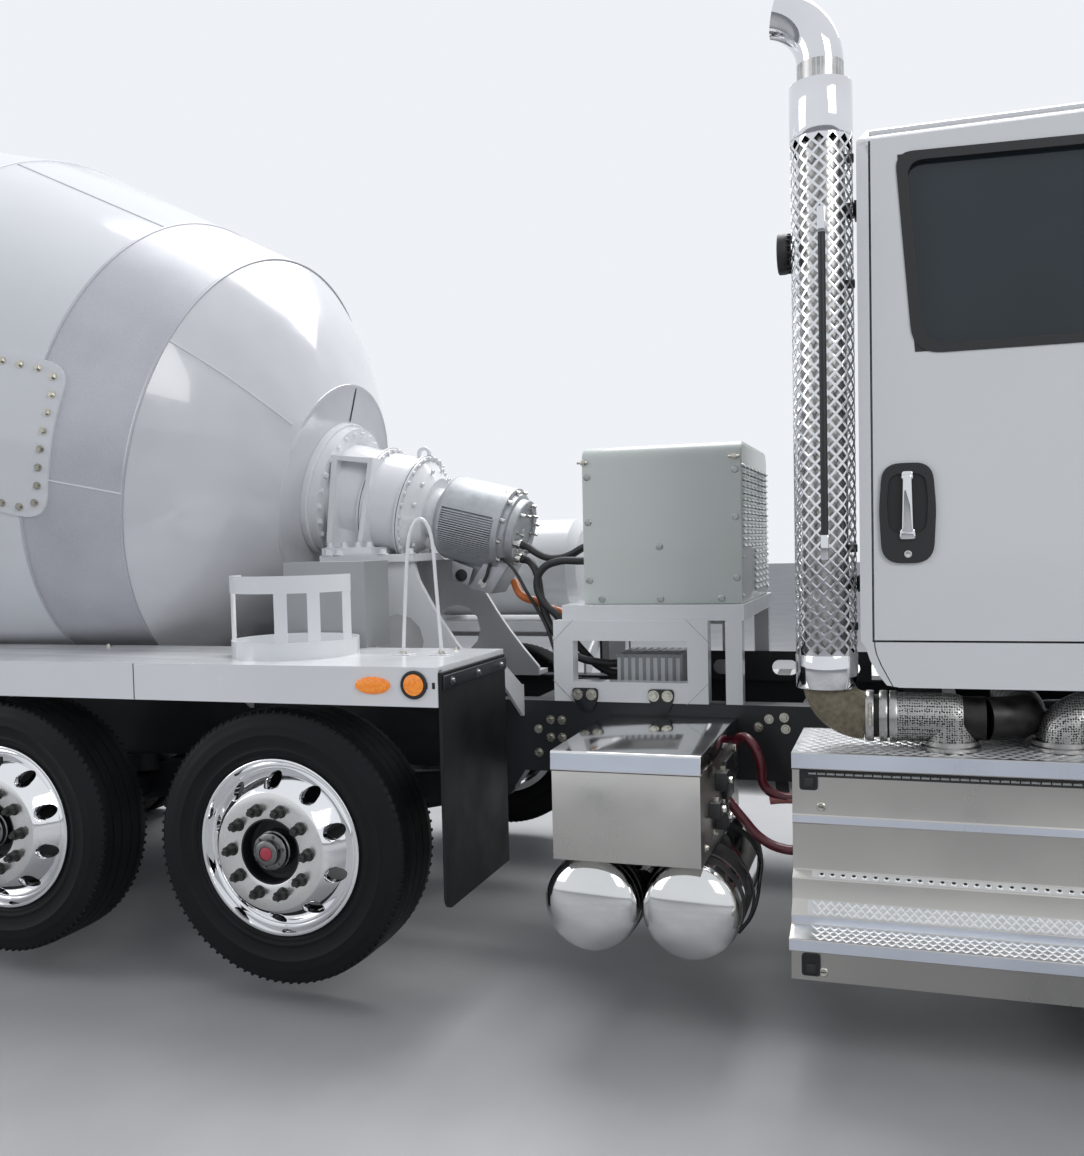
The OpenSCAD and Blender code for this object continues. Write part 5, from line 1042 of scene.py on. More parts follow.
# Exhaust stack: chrome pipe in a perforated chrome shield, a wrapped bend at its foot, perforated
# elbows that run in under the cab, and a grab handle with a black grip.
chrome = metal("chrome", (0.76, 0.765, 0.78), 0.05, 0.1, 5)
inner_pipe = metal("inner_pipe", (0.5, 0.49, 0.48), 0.35, 0.35, 20)
wrap = Finish("exhaust_wrap", (0.42, 0.35, 0.24), {})
cloth = wrap.grain(60, 4)
wrap.coat(Base_Color=wrap.blend(wrap.step(cloth, 0.3, 0.7), (0.17, 0.145, 0.1), (0.31, 0.27, 0.195)),
          Roughness=cloth * 0.2 + 0.62)
wrap.relief(cloth, 0.002, 0.6)
# The run that goes inboard is near-black: painted shade where it lies in shadow.
shaded_run_pipe = metal("run_pipe_painted_shade", (0.045, 0.043, 0.042), 0.5, 0.4, 20)
# Dark sheet with fine round holes, close together. The holes are not cut but painted as near-black dots: painted
# shade.
sieve = Finish("fine_sieve", (0.2, 0.2, 0.2), {"Metallic": 0.85})
holes = sieve.cells(150, 0.35)
sieve.coat(Base_Color=sieve.blend(sieve.step(holes, 0.34, 0.46), (0.006, 0.006, 0.006), (0.36, 0.355, 0.345)),
           Roughness=sieve.grain(9, 3) * 0.2 + 0.22)
sieve.relief(holes, 0.002, 0.5)
stack = move(2.34, -1, 0)


def lattice(low, high, radius, around, thick):
    """A tube of sheet with diamond holes: a flat net of diamonds, bent round and thickened."""
    net = bmesh.new()
    rows = round((high - low) / (pi * radius / around))
    step_z = (high - low) / rows
    points = {}

    def corner(i, j):
        key = (i % (2 * around), j)
        if key not in points:
            a = pi * i / around
            points[key] = net.verts.new((radius * cos(a), radius * sin(a), low + j * step_z))
        return points[key]

    diamonds = []
    for j in range(1, rows):
        for i in range(2 * around):
            if (i + j) % 2:
                ring = corner(i, j - 1), corner(i + 1, j), corner(i, j + 1), corner(i - 1, j)
                diamonds.append(net.faces.new(ring))
    for i in range(2 * around):
        if i % 2:
            net.faces.new((corner(i - 1, 0), corner(i + 1, 0), corner(i, 1)))
        if (i + rows) % 2:
            net.faces.new((corner(i - 1, rows), corner(i, rows - 1), corner(i + 1, rows)))
    net.normal_update()
    bmesh.ops.inset_individual(net, faces=diamonds, thickness=0.0052, depth=0)
    bmesh.ops.delete(net, geom=diamonds, context="FACES_ONLY")
    back = bmesh.ops.extrude_face_region(net, geom=net.faces[:], use_keep_orig=True)["geom"]
    for part in back:
        if isinstance(part, bmesh.types.BMVert):
            part.co.xy *= 1 - thick / radius
    bmesh.ops.recalc_face_normals(net, faces=net.faces)
    mesh = bpy.data.meshes.new("lattice")
    net.to_mesh(mesh)
    net.free()
    return mesh


form = Form()
shield_r, pipe_r, bend_r, bend_z = 0.0895, 0.067, 0.17, 2.937
form.add(lattice(1.216, 2.722, shield_r, 14, 0.0016), chrome, stack)
for low, high in ((1.119, 1.218), (2.72, 2.877)):
    form.turned([(shield_r, low), (0.0905, low + 0.002), (0.0905, high - 0.002), (shield_r, high), (0.0875, high),
                 (0.0875, low)], chrome, stack, 72)
for z in (1.12, 2.874):
    form.band(0.0675, 0.0885, z - 0.001, z + 0.002, dark, stack)
form.band(0.064, pipe_r, 1.145, bend_z, inner_pipe, stack, 48)
# The upper bend, cut off upright at its end.
rings = [[(u, v, 2.87) for u, v in arc(pipe_r, 0, 348, 29)]]
for wide, steps in ((1, range(13)), (0.955, range(12, 8, -1))):
    for k in steps:
        ring = [(bend_r + wide * u, wide * v) for u, v in arc(pipe_r, 0, 348, 29)]
        rings.append([(r * cos(radians(6.25 * k)) - bend_r, v, bend_z + r * sin(radians(6.25 * k))) for r, v in ring])
form.loft(rings, chrome, stack)
# The wrapped bend below, with its ribs, and the clamps and elbows that run forward.
foot_r, foot_z = 0.11, 1.145
foot = arc(-foot_r, 0, 90, 6, foot_r, foot_z)
form.hose([tuple(stack @ Vector((x, 0, z))) for x, z in foot], 0.07, wrap, 10, 8)
for k, (x, z) in enumerate(arc(-foot_r, 0, 90, 45, foot_r, foot_z)):
    along = Vector((sin(radians(2 * k)), 0, -cos(radians(2 * k))))
    place = stack @ move(x, 0, z) @ along.to_track_quat("Z", "Y").to_matrix().to_4x4()
    form.turned([(0.069, -0.0012), (0.0722, -0.0006), (0.0722, 0.0006), (0.069, 0.0012)], wrap, place, 36)
form.turned([(0, -0.002), (0.07, -0.002), (0.07, 0.03), (0, 0.03)], wrap,
            stack @ move(0, 0, 1.125), 40, False)
run = stack @ move(0, 0, 1.035) @ turn_by(90, "Y")
form.band(0.045, 0.063, 0.108, 0.44, shaded_run_pipe, run, 40)
for z in (0.112, 0.15, 0.178):
    form.turned([(0.062, z), (0.074, z), (0.0755, z + 0.004), (0.0755, z + 0.018), (0.074, z + 0.022),
                 (0.062, z + 0.022)], inner_pipe, run, 40)
form.rod(stack @ Vector((0.125, -0.08, 1.02)), stack @ Vector((0.125, -0.08, 1.085)), 0.006, zinc, 12)
form.hose([tuple(stack @ Vector(p)) for p in ((0.438, 0, 1.035), (0.49, 0.02, 1.035), (0.535, 0.06, 1.035),
                                               (0.55, 0.12, 1.035), (0.55, 0.54, 1.035))], 0.0625, shaded_run_pipe, 8)
elbow_r = 0.0715
form.turned([(0, 0.198), (elbow_r, 0.198), (elbow_r, 0.345)] + arc(elbow_r, 10, 80, 7, 0, 0.345) +
            [(0, 0.345 + elbow_r)], sieve, run, 48, False)
form.turned([(0, 0.97), (0.0712, 0.97), (0.0712, 1.036), (0, 1.036)], sieve,
            move(2.685, -1, 0), 48, False)
form.hose(((2.985, -0.95, 0.962), (2.995, -0.95, 1), (3.05, -0.93, 1.038), (3.19, -0.84, 1.045),
           (3.31, -0.7, 1.045), (3.34, -0.56, 1.045)), elbow_r, sieve, 10, 10)
for x, y in ((2.685, -1), (2.985, -0.95)):
    form.turned([(0.07, 0.9455), (0.084, 0.9455), (0.085, 0.95), (0.085, 0.956), (0.078, 0.96), (0.078, 0.972),
                 (0.07, 0.973)], inner_pipe, move(x, y, 0), 40)
# The grab handle.
form.rod((2.346, -1.112, 1.56), (2.346, -1.112, 2.44), 0.0105, rubber_black, 20)
for z0, z1 in ((1.499, 1.572), (2.428, 2.502)):
    form.block((2.3345, -1.1235, z0), (2.3575, -1.0995, z1), chrome, 0.004)
for z in (1.5, 2.47):
    form.block((2.334, -1.115, z), (2.358, -1.088, z + 0.028), chrome, 0.003)
for z in (1.3, 1.53, 2.3, 2.52, 2.66):
    form.block((2.405, -1.012, z - 0.012), (2.432, -0.992, z + 0.012), dark, 0.003)
for z in (1.405, 2.505):
    form.block((2.4295, -0.97, z - 0.005), (2.4397, -0.91, z + 0.045), black, 0.003)
    form.block((2.362, -0.945, z), (2.432, -0.935, z + 0.04), black)
form.done("exhaust_stack_chrome", "chassis", "exhaust_stack", 35)

# Step boxes: folded aluminium, mill finish with a bright sheen, on both sides. The treads are
# pressed with raised diamonds, strips of them run along the folds, and the covers are latched.
# The raised diamonds, the rings and one stretch of tread get a lighter copy of the plate's metal: a painted highlight
# on their tops.
tread = Finish("tread_bumps_painted_highlight", (0.84, 0.84, 0.84), {"Metallic": 0.6})
tread.coat(Roughness=tread.grain(30, 2) * 0.2 + 0.28,
           Base_Color=tread.blend(tread.grain(12, 3), (0.76, 0.76, 0.76), (0.9, 0.9, 0.9)))
tread_base = metal("tread_plate", (0.6, 0.605, 0.61), 0.4, 0.2, 14)
mill = metal("mill_aluminium", (0.5, 0.487, 0.46), 0.38, 0.04, 3)
folded = metal("folded_lip", (0.68, 0.72, 0.8), 0.36, 0.03, 3)


def diamond_strip(x0, x1, rows, pitch, finish, place, height=0.0022):
    """Raised diamonds that lie crosswise by turns, in rows along X and Y of the place."""
    one = Form()
    base = [(pitch * 0.62, 0), (0, pitch * 0.2), (-pitch * 0.62, 0), (0, -pitch * 0.2)]
    for turn, shift in ((45, 0), (-45, 0.5)):
        one.loft([[(x, y, 0) for x, y in base], [(0.6 * x, 0.35 * y, height) for x, y in base]], finish,
                 move(pitch * shift, 0, 0) @ turn_by(turn, "Z"))
    pair = one.gather("pair")
    row = Form()
    for k in range(int((x1 - x0) / pitch)):
        row.add(pair, finish, move(x0 + pitch * (k + 0.5), 0, 0))
    line = row.gather("row")
    sheet = Form()
    for k, y in enumerate(rows):
        sheet.add(line, finish, place @ move(pitch * 0.5 * (k % 2), y, 0))
    return sheet.gather("sheet")


form = Form()
section = [(box_back, 0.7), (box_back, 0.9), (0.7, 0.9), (0.7, 0.942), (1.128, 0.942), (1.13, 0.94),
           (1.13, 0.895), (1.127, 0.893), (1.112, 0.893), (1.11, 0.888), (1.11, 0.757), (1.1125, 0.754),
           (1.1125, 0.732), (1.11, 0.729), (1.11, 0.595), (1.113, 0.592), (1.14, 0.579), (1.143, 0.575),
           (1.143, 0.517), (1.145, 0.513), (1.178, 0.482), (1.18, 0.479), (1.18, 0.456), (1.184, 0.453),
           (1.253, 0.436), (1.255, 0.433), (1.255, 0.402), (1.253, 0.4), (1.197, 0.4), (1.195, 0.396),
           (1.195, 0.297), (0.72, 0.295), (0.72, 0.7)]
whole = (2.246, 3.719)
for side, out in ((right_side, -1), (left_side, 1)):
    top = Matrix.Diagonal((1, out, 1, 1))
    along = top @ stand_x
    form.plate(section, (2.245, 3.72), mill, 0.0012, along)
    # Bare folds and treads, each as the skin of its own stretch of the section.
    for (y0, z0), (y1, z1), skin, ends in (
        ((1.13, 0.897), (1.13, 0.94), folded, whole),
        ((0.72, 0.942), (1.128, 0.942), tread_base, whole),
        ((1.1125, 0.733), (1.1125, 0.753), folded, whole),
        ((1.14, 0.5792), (1.113, 0.5922), tread, (2.3, 3.7)),
        ((1.178, 0.4822), (1.145, 0.5132), tread_base, (2.29, 3.7)),
        ((1.18, 0.457), (1.18, 0.478), folded, whole),
        ((1.253, 0.4362), (1.184, 0.4532), tread_base, (2.255, 3.71)),
        ((1.255, 0.403), (1.255, 0.433), folded, whole),
    ):
        dy, dz = Vector((z1 - z0, y0 - y1)).normalized() * (0.0005 if y0 >= y1 else -0.0005)
        form.plate([(y0, z0), (y1, z1), (y1 + dy, z1 + dz), (y0 + dy, z0 + dz)], ends, skin, 0, along)
    form.add(diamond_strip(2.252, 3.71, [0.725 + 0.027 * k for k in range(15)], 0.036, tread,
                           top @ move(0, 0, 0.9422)), tread)
    for y, z, slope, rows in ((1.145, 0.5135, atan2(0.031, 0.033), (0.008, 0.0225, 0.037)),
                              (1.184, 0.4534, atan2(0.017, 0.069), (0.009, 0.026, 0.043, 0.06))):
        form.add(diamond_strip(2.3, 3.7, rows, 0.024, tread,
                               top @ move(0, y, z) @ Matrix.Rotation(-slope, 4, "X"), 0.0024), tread)
    lean = top @ move(0, 1.1265, 0.5862) @ Matrix.Rotation(-atan2(0.013, 0.027), 4, "X")
    # Raised rings along the lower tread, each with a dark disc in its hole: painted shade.
    for k in range(46):
        spot = lean @ move(2.328 + 0.03 * k, 0, 0)
        form.turned([(0.0055, 0), (0.009, 0), (0.007, 0.0026), (0.0055, 0.0026)], tread, spot, 12)
        form.turned([(0, 0), (0.0056, 0), (0.0056, 0.0008), (0, 0.0008)], black_and_painted_shade, spot, 12, False)
    # The hinge under the upper lip, on a dark strip of painted shade.
    form.block((2.29, 0.868, 1.1095), (3.7, 0.8925, 1.1104), dark, 0, side)
    for k in range(54):
        x = 2.292 + 0.026 * k
        form.rod(side @ Vector((x, 0.879, 1.1115)), side @ Vector((x + 0.022, 0.879, 1.1115)), 0.0042, screw_grey, 10)
    # The shade under the lip is painted as a dark line. The latch recesses and the slots of the quarter-turn
    # fasteners are painted dark too, as shade.
    form.block((2.246, 0.888, 1.1095), (3.719, 0.8925, 1.1108), black_and_painted_shade, 0, side)
    for z, x, y in ((0.861, 2.292, 1.11), (0.343, 2.3, 1.195)):
        outer = rounded_box(x - 0.026, z - 0.032, x + 0.026, z + 0.032, 0.01, 4)
        inner = shrunk(outer, x, z, 0.84, 0.87)
        form.rim(outer, inner, (y, y + 0.003), black, side)
        form.plate(inner, (y - 0.001, y + 0.0008), black_and_painted_shade, 0, side)
        form.block((x - 0.012, z - 0.022, y), (x + 0.014, z + 0.004, y + 0.004), dark, 0.002, side)
    for x, z, y in ((2.327, 0.781, 1.11), (2.335, 0.324, 1.195), (3.66, 0.781, 1.11), (3.66, 0.324, 1.195)):
        spot = side @ move(x, z, y)
        form.turned([(0, 0), (0.0135, 0), (0.0135, 0.0012), (0.01, 0.003), (0.006, 0.0022), (0, 0.0022)], zinc,
                    spot, 24, False)
        form.block((-0.0075, -0.0012, 0.002), (0.0075, 0.0012, 0.0028), black_and_painted_shade, 0, spot)

# Tool box: stainless sheet with a folded lid; its polished top mirrors what stands over it.
polished = metal("polished_lid", (0.8, 0.8, 0.79), 0.1, 0.15, 4)
stainless = metal("brushed_stainless", (0.54, 0.53, 0.5), 0.36, 0.07, 5, (40, (2, 2, 0.3), 0.00015))
box_rear, box_front = 1.532, 1.99
outline = [(-box_back, 0.597), (-1.1985, 0.597), (-1.1985, 0.874), (-box_back, 0.874)]
form.plate(outline, (box_rear, box_front), stainless, 0.003, stand_x)
outline = [(-box_back, 0.873), (-1.2005, 0.873), (-1.202, 0.876), (-1.1985, 0.928), (-1.194, 0.9325), (-0.6, 0.9345),
           (-box_back, 0.925)]
form.plate(outline, (1.5295, 1.9925), polished, 0.0015, stand_x)
form.plate([(-1.2019, 0.878), (-1.1989, 0.926), (-1.1994, 0.926), (-1.2024, 0.878)], (1.531, 1.991), folded, 0,
           stand_x)
form.block((1.5315, -1.2008, 0.8715), (1.9905, -0.45, 0.8735), dark, 0)
for y in (-0.55, -0.75, -0.95, -1.12):
    form.bolt((box_front, y, 0.64), (1, 0, 0), 0.008, zinc, 0.007)
    form.bolt((box_rear, y, 0.64), (-1, 0, 0), 0.008, zinc, 0.007)
form.block((box_front, -0.8, 0.7), (2.006, -0.64, 0.84), black, 0.004)
for y, z, wide, tall in ((-0.9, 0.8, 0.07, 0.06), (-0.92, 0.69, 0.05, 0.08), (-1.04, 0.74, 0.06, 0.05)):
    form.block((box_front, y - wide / 2, z - tall / 2), (2.028, y + wide / 2, z + tall / 2), rubber_black, 0.005)
    form.rod((2.026, y, z), (2.04, y, z), 0.012, plated, 6, edge=0.001)
    form.rod((2.01, y, z + tall / 2 - 0.002), (2.01, y, z + tall / 2 + 0.014), 0.009, zinc, 6)
form.rod((box_front, -0.56, 0.845), (2.004, -0.56, 0.845), 0.021, plated, 6, edge=0.001)
form.rod((box_front, -0.72, 0.7), (2.004, -0.72, 0.7), 0.021, plated, 6, edge=0.001)
form.done("side_boxes_sheet", "chassis", "side_boxes", 30)

# Tanks: two polished air tanks with domed ends under the tool box, held by black straps, and the
# round fuel tank with its cap, straps and step on the left.
tank_shine = metal("tank_polish", (0.72, 0.72, 0.715), 0.09, 0.1, 5)
form = Form()
tank_r, dome_z, dome_h = 0.149, 0.652, 0.0678
for x in (1.634, 1.944):
    spot = move(x, -0.48, 0.4477) @ turn_by(90, "X")
    dome = [(0, dome_z + dome_h)] + arc(tank_r, 82.5, 0, 11, 0, dome_z, dome_h)
    dome += [(tank_r, 0.06), (0.1475, 0.05), (0.137, 0.036), (0.11, 0.018), (0.07, 0.006), (0, 0)]
    form.turned(dome, tank_shine, spot, 96, False)
    form.band(0.148, 0.15, 0.64, 0.643, dark, spot, 96)
    for z in (0.14, 0.56):
        form.band(0.1485, 0.1515, z, z + 0.04, rubber_black, spot, 96)
        form.block((x - 0.02, -0.48 - z - 0.038, 0.588), (x + 0.02, -0.48 - z - 0.002, 0.5975), black)
    form.rod((x, -0.8, 0.312), (x, -0.8, 0.296), 0.013, zinc, 6)
form.turned([(0.1487, 0.4), (0.1512, 0.402), (0.1512, 0.528), (0.1487, 0.53)], rubber_black, spot, 96)
form.hose([(2.05, -0.55, 0.56), (2.085, -0.6, 0.5), (2.098, -0.72, 0.43), (2.09, -0.86, 0.36),
           (2.06, -0.95, 0.33)], 0.006, sheath)
form.hose([(2.04, -0.9, 0.56), (2.094, -0.93, 0.5), (2.102, -0.97, 0.4), (2.045, -0.99, 0.328)], 0.005,
          sheath)
fuel = move(1.42, 0.9, 0.64) @ turn_by(90, "Y")
ends = [(0, 0), (0.24, 0.001), (0.275, 0.006), (0.292, 0.016), (0.2995, 0.03), (0.2995, 0.73), (0.292, 0.744),
        (0.275, 0.754), (0.24, 0.759), (0, 0.76)]
form.turned(ends, tank_shine, fuel, 128, False)
for z in (0.165, 0.605):
    form.turned([(0.2985, z - 0.03), (0.3025, z - 0.028), (0.3025, z + 0.028), (0.2985, z + 0.03)], rubber_black,
                fuel, 128)
    x = 1.42 + z
    form.block((x - 0.03, box_back, 0.76), (x + 0.03, 0.64, 0.82), black, 0.004)
form.rod((1.8, 1.05, 0.88), (1.8, 1.074, 0.925), 0.052, plated, 36, edge=0.004)
form.block((1.5, 1.165, 0.6), (2.1, 1.198, 0.64), tread, 0.003)
form.done("tanks_polished", "chassis", "tanks", 30)

# Cab: pressed steel panels in white, seams between them, a drip rail over the doors; the doors have
# a black rubber frame round dark tinted glass, and a black bezel with a chrome lever.
cab_white = enamel("cab_white", (0.74, 0.75, 0.76), 0.2, 0.03)
tint = Finish("tinted_glass", (0.018, 0.028, 0.036), {"Specular IOR Level": 0.45})
# The tint turns lighter and darker in large clouds: a faint painted reflection of the sky.
tint.coat(Roughness=tint.grain(3, 2) * 0.02 + 0.015, Alpha=tint.grain(1.2, 2) * 0.05 + 0.91,
          Base_Color=tint.blend(tint.grain(2.5, 4), (0.012, 0.02, 0.026), (0.026, 0.04, 0.052)))

dress("cab_glass", "chassis", tint, 0.001)
seat_cloth = Finish("seat_cloth", (0.1, 0.1, 0.105), {})
threads = seat_cloth.grain(260, 3)
seat_cloth.shaded(threads, (0.06, 0.06, 0.065), (0.14, 0.14, 0.145), 0.2, 0.7)
seat_cloth.relief(threads, 0.001, 0.5)
dress("cab_interior", "chassis", seat_cloth, 0.012)
cab_side = 1.0495


def door_trim(place, sign):
    def trim(form):
        sharp = rounded([(2.596, 2.083), (3.53, 2.083), (3.375, 2.615), (2.552, 2.638)], 0.0005, 8)
        soft = rounded([(2.619, 2.103), (3.512, 2.103), (3.364, 2.596), (2.576, 2.618)], [0.07, 0.07, 0.06, 0.05], 8)
        form.rim(sharp, soft, (1.0005, 1.0515), rubber_black, place)
        wide = rounded([(2.59, 2.077), (3.536, 2.077), (3.379, 2.621), (2.545, 2.645)], [0.08, 0.08, 0.05, 0.05], 8)
        form.rim(wide, soft, (1.049, 1.0535), rubber_black, place)
        bezel = rounded([(2.502, 1.485), (2.642, 1.485), (2.65, 1.64), (2.64, 1.771), (2.504, 1.771),
                         (2.494, 1.64)], [0.055, 0.055, 0.03, 0.05, 0.05, 0.03], 7)
        cup = [(2.572 + (x - 2.572) * 0.72, 1.655 + (z - 1.628) * 0.6) for x, z in bezel]
        form.rim(bezel, cup, (cab_side, 1.0585), rubber_black, place)
        # The cup in the bezel is a dark plate: painted shade in the recess.
        form.plate(cup, (cab_side, 1.0512), black_and_painted_shade, 0, place)
        for corners, cut, reach in (
            ([(2.556, 1.572), (2.588, 1.572), (2.584, 1.738), (2.56, 1.738)], 0.01, (1.058, 1.071)),
            ([(2.549, 1.553), (2.595, 1.553), (2.592, 1.585), (2.552, 1.585)], 0.01, (1.052, 1.069)),
            ([(2.555, 1.722), (2.589, 1.722), (2.587, 1.748), (2.557, 1.748)], 0.008, (1.052, 1.066)),
        ):
            form.plate(rounded(corners, cut, 5), reach, chrome, 0.004, place)
        form.turned([(0, 0), (0.0115, 0), (0.0105, 0.003), (0.004, 0.0035), (0, 0.002)], plated,
                    place @ move(2.573, 1.511, 1.0585), 24, False)
        # The mirror's glass and its black housing.
        own_side = Matrix.Diagonal((1, sign, 1, 1))
        form.block((3.522, 1.165, 1.975), (3.532, 1.365, 2.425), chrome, 0.004, own_side)
        form.block((3.59, 1.175, 1.985), (3.6, 1.355, 2.415), rubber_black, 0.004, own_side)
    return trim


for side, place, sign in (("right", right_side, -1), ("left", left_side, 1)):
    dress("door_" + side, "door_" + side, cab_white, 0.006, more=door_trim(place, sign))
    dress("door_glass_" + side, "door_" + side, tint, 0.001)


def cab_trim(form):
    for side in (right_side, left_side):
        seam = [(2.4795, 1.262), (2.4795, 1.245), (2.484, 1.222), (2.497, 1.19), (2.53, 1.1265)]
        for (x0, z0), (x1, z1) in zip(seam, seam[1:]):
            line = [(x0 - 0.0015, z0), (x1 - 0.0015, z1), (x1 + 0.0015, z1), (x0 + 0.0015, z0)]
            form.plate(line, (cab_side, cab_side + 0.0008), black_and_painted_shade, 0, side)
        drip = [(2.475, 2.7), (3.395, 2.7), (3.47, 2.672), (3.474, 2.679), (3.4, 2.712), (2.475, 2.712)]
        form.plate(drip, (1.045, 1.056), cab_white, 0.002, side)
    for y in (-0.62, 0.62):
        form.block((2.4375, y - 0.0015, 1.2), (2.4405, y + 0.0015, 2.66), black_and_painted_shade, 0)
    for z in (1.4, 1.75):
        form.block((2.4375, -0.95, z), (2.4405, 0.95, z + 0.003), black_and_painted_shade, 0)
    form.rim(rounded_box(-0.62, 2.06, 0.62, 2.58, 0.07, 6), rounded_box(-0.575, 2.105, 0.575, 2.535, 0.06, 6),
             (2.432, 2.462), rubber_black, stand_x)
    # The windscreen's black seal and its two wipers, laid on the slope of the glass.
    slope = move(3.89, 0, 1.95) @ Matrix.Rotation(-atan2(0.39, 0.81), 4, "Y") @ stand_x
    outer = rounded_box(-0.925, 0.062, 0.925, 0.768, 0.05, 6)
    form.rim(outer, shrunk(outer, 0, 0.415, 0.968, 0.93), (-0.03, 0.004), rubber_black, slope)
    for y in (-0.36, 0.34):
        for start, end, r, steps, edge in (
            ((y, 0.035, -0.002), (y, 0.035, 0.014), 0.014, 20, 0.002),
            ((y, 0.035, 0.006), (y - 0.3, 0.4, -0.012), 0.005, 8, 0),
            ((y - 0.02, 0.46, -0.018), (y - 0.58, 0.33, -0.018), 0.006, 8, 0),
        ):
            form.rod(slope @ Vector(start), slope @ Vector(end), r, rubber_black, steps, edge=edge)


dress("cab_shell", "chassis", cab_white, 0.01, more=cab_trim)


# Hood with its fenders: moulded, in the same white, with rubber latches, side louvres and rubber
# edges round the wheel arches.
def hood_details(form):
    for side in (-1, 1):
        arch = arc(0.646, 19, 160.6, 12, 4.53, 0.52)
        form.hose([(x, side * 1.233, z) for x, z in arch], 0.008, rubber_black, 3, 4)
        form.block((3.912, side * 0.561 - 0.01, 1.2), (3.948, side * 0.561 + 0.01, 1.35), rubber_black, 0.004)
        form.block((3.905, side * 0.568 - 0.01, 1.33), (3.955, side * 0.568 + 0.01, 1.362), rubber_black, 0.004)
        # A dark plate behind the louvres: painted shade in their openings.
        form.block((4.06, side * 0.5605 - 0.003, 1.395), (4.26, side * 0.5605 + 0.003, 1.585), dark)
        for k in range(6):
            form.plate([(0, 0), (0.016, -0.01), (0.016, -0.016), (0, -0.016)], (4.055, 4.265), white, 0.001,
                       move(0, side * 0.56, 1.578 - 0.03 * k) @ Matrix.Diagonal((1, side, 1, 1)) @ stand_x)


dress("hood", "hood", cab_white, 0.012, more=hood_details)

# Grille and headlamps: chromed bars before a black wire screen, and square lamps with two dished
# mirrors each behind a clear cover, bolted into the hood's nose.
cover = Finish("clear_cover", (0.8, 0.83, 0.85), {"Specular IOR Level": 0.8})
cover.coat(Roughness=cover.grain(40) * 0.05 + 0.02, Alpha=cover.grain(12, 2) * 0.08 + 0.22)
nose = Form()
for i in range(9):
    nose.block((5.266, -0.3797, 0.92 + 0.06 * i), (5.284, 0.3797, 0.942 + 0.06 * i), chrome, 0.004)
for y in (-0.3797, -0.012, 0.3557):
    nose.block((5.266, y, 0.91), (5.276, y + 0.024, 1.432), chrome)
for k in range(37):
    nose.rod((5.263, -0.36 + 0.02 * k, 0.912), (5.263, -0.36 + 0.02 * k, 1.43), 0.0018, dark, 6)
for k in range(25):
    nose.rod((5.2645, -0.376, 0.922 + 0.0208 * k), (5.2645, 0.376, 0.922 + 0.0208 * k), 0.0018, dark, 6)
for side in (-1, 1):
    turned_in = Matrix.Diagonal((1, side, 1, 1)) @ stand_x
    outer = rounded_box(0.7, 0.9, 1.02, 1.07, 0.02, 4)
    inner = shrunk(outer, 0.86, 0.985, 0.92, 0.86)
    nose.rim(outer, inner, (5.2605, 5.284), chrome, turned_in)
    nose.plate(inner, (5.2608, 5.263), chrome, 0, turned_in)
    for y in (0.775, 0.905):
        spot = move(5.2625, side * y, 0.985) @ turn_by(90, "Y")
        nose.turned([(0.062, 0.013), (0.06, 0.014), (0.048, 0.0065), (0.03, 0.0025), (0.014, 0.001),
                     (0.012, 0.01), (0, 0.0115), (0, 0), (0.062, 0)], chrome, spot, 40, False)
    nose.block((5.263, side * 0.988 - 0.014, 0.918), (5.278, side * 0.988 + 0.014, 1.052), amber, 0.003)
    nose.plate(shrunk(inner, 0.86, 0.985, 0.99, 0.99), (5.279, 5.282), cover, 0.001, turned_in)
nose.done("hood_trim_chromed", "hood", "hood_trim", 30)


# Front bumper: polished steel with two tow slots, which are dark plates of painted shade. Plated bolts hold it to the
# front end of the frame.
def bumper_trim(form):
    for side in (-1, 1):
        slot = rounded_box(side * 0.52 - 0.07, 0.545, side * 0.52 + 0.07, 0.6, 0.025, 6)
        form.plate(slot, (5.329, 5.3306), black_and_painted_shade, 0, stand_x)
        for y, z in ((0.36, 0.61), (0.36, 0.52), (0.86, 0.565)):
            form.bolt((5.33, side * y, z), (1, 0, 0), 0.013, zinc, 0.008)


dress("front_bumper", "chassis", tank_shine, 0.01, more=bumper_trim)

# Engine: one cast block with its radiator and gearbox, painted dark grey. It stands in for the real
# one between the rails, where the closed hood hides it.
engine_grey = enamel("engine_grey", (0.1, 0.11, 0.12), 0.5, 0.3)
dress("engine", "chassis", engine_grey, 0.01)


# Rear pedestal: welded plate in white. Its feet are bolted to the rails, and it carries the rollers and
# the hoppers.
def pedestal_bolts(form):
    for side in (-1, 1):
        for x in (-3.52, -3.36, -3.2, -3.06):
            form.bolt((x, side * 0.455, 1.045), (0, side, 0), 0.012, zinc, 0.01)
        for z in (1.6, 2, 2.4, 2.8, 3.2):
            x = -3.42 - (z - 1.55) * 0.262
            form.block((x - 0.045, side * 0.7 - 0.002, z), (x + 0.045, side * 0.7 + 0.002, z + 0.004), white, 0)


dress("rear_pedestal", "chassis", white, 0.004, more=pedestal_bolts)


# Hoppers: folded sheet in white, with rolled rims and ribs round them, on the rear pedestal. The upper
# one ends in a rubber curtain.
def loop(form, low, high, z, radius, finish):
    """A round bar bent to a level rectangle."""
    (x0, y0), (x1, y1) = low, high
    form.hose([(x0, y0, z), (x1, y0, z), (x1, y1, z), (x0, y1, z), (x0, y0, z)], radius, finish, 3, 1)


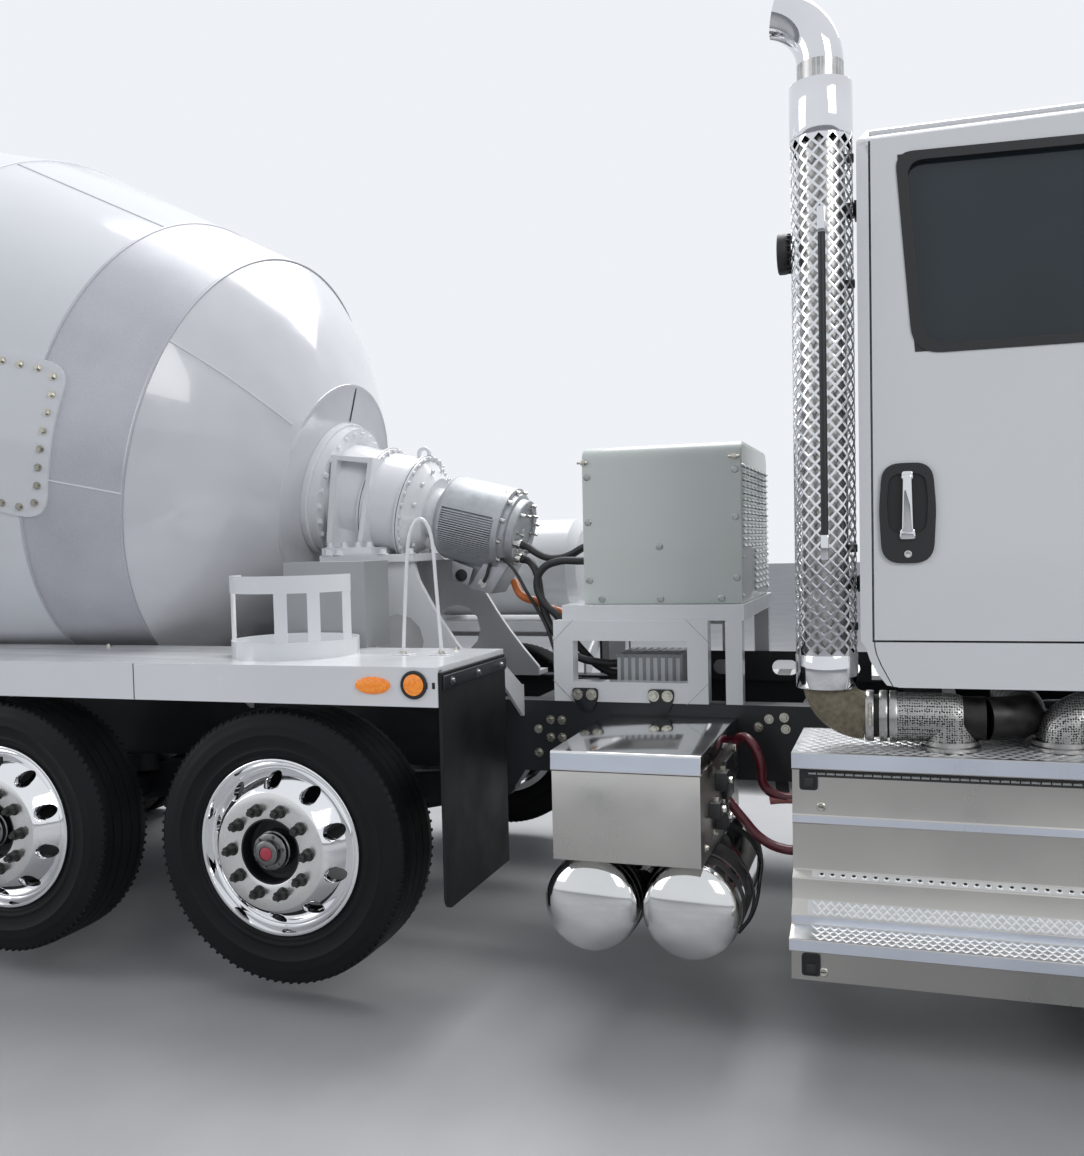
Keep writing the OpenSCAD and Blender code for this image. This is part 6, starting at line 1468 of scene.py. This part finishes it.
def hopper_ribs(form):
    for low, high, levels in ((((-3.9, -0.2), (-3.64, 0.2), 2.865), ((-4.65, -0.48), (-3.77, 0.48), 3.845),
                               (0.35, 0.68)),
                              (((-4.48, -0.17), (-4.18, 0.17), 1.705), ((-4.56, -0.48), (-3.92, 0.48), 2.145),
                               (0.5,))):
        loop(form, (high[0][0] + 0.012, high[0][1] + 0.012), (high[1][0] - 0.012, high[1][1] - 0.012), high[2], 0.013,
             white)
        for t in levels:
            corner = [tuple(a + (b - a) * t for a, b in zip(low[k], high[k])) for k in (0, 1)]
            loop(form, corner[0], corner[1], low[2] + (high[2] - low[2]) * t, 0.009, white)
    for y0, y1 in ((-0.19, -0.065), (-0.062, 0.062), (0.065, 0.19)):
        form.block((-3.896, y0, 2.745), (-3.889, y1, 2.88), flap)
        form.block((-3.651, y0, 2.745), (-3.644, y1, 2.88), flap)


dress("hoppers", "chassis", white, 0.003, more=hopper_ribs)
dress("chute_post", "chute_post", white, 0.004)


# Chutes: rolled sheet troughs in white with ribs under them, hinged to the post and to each other. The
# bed is worn bright by the load.
def half_ring(low_r, high_r, up):
    return arc(high_r, 180, 360, 24, tall=up * high_r) + arc(low_r, 360, 180, 24, tall=up * low_r)


bed = metal("worn_bed", (0.42, 0.41, 0.39), 0.34, 0.35, 7, (25, (0.4, 3, 3), 0.0006))


def chute_trim(z, up, stations, ends):
    def trim(form):
        level = move(0, 0, z) @ stand_x
        for x in stations:
            form.plate(half_ring(0.236, 0.246, up), (x - 0.01, x + 0.01), white, 0, level)
        form.plate(half_ring(0.2285, 0.2302, up), ends, bed, 0, level)
    return trim


dress("main_chute", "main_chute", white, 0.003, more=chute_trim(1.48, 1, (-4.6, -5.1), (-5.295, -4.185)))
dress("fold_chute", "fold_chute", white, 0.003, more=chute_trim(1.7, -1, (-5.14, -4.9), (-5.295, -4.74)))

# Rollers: worn steel, on pins in the rear pedestal's brackets. The lift cylinder has a black painted
# barrel and a chromed rod, and is pinned between the post and the chute.
for node, body in (("roller_left", "roller_left"), ("roller_right", "roller_right")):
    dress(node, body, worn, 0.003)
dress("lift_barrel", "lift_barrel", black, 0.003)
dress("lift_rod", "lift_rod", chrome, 0.001)
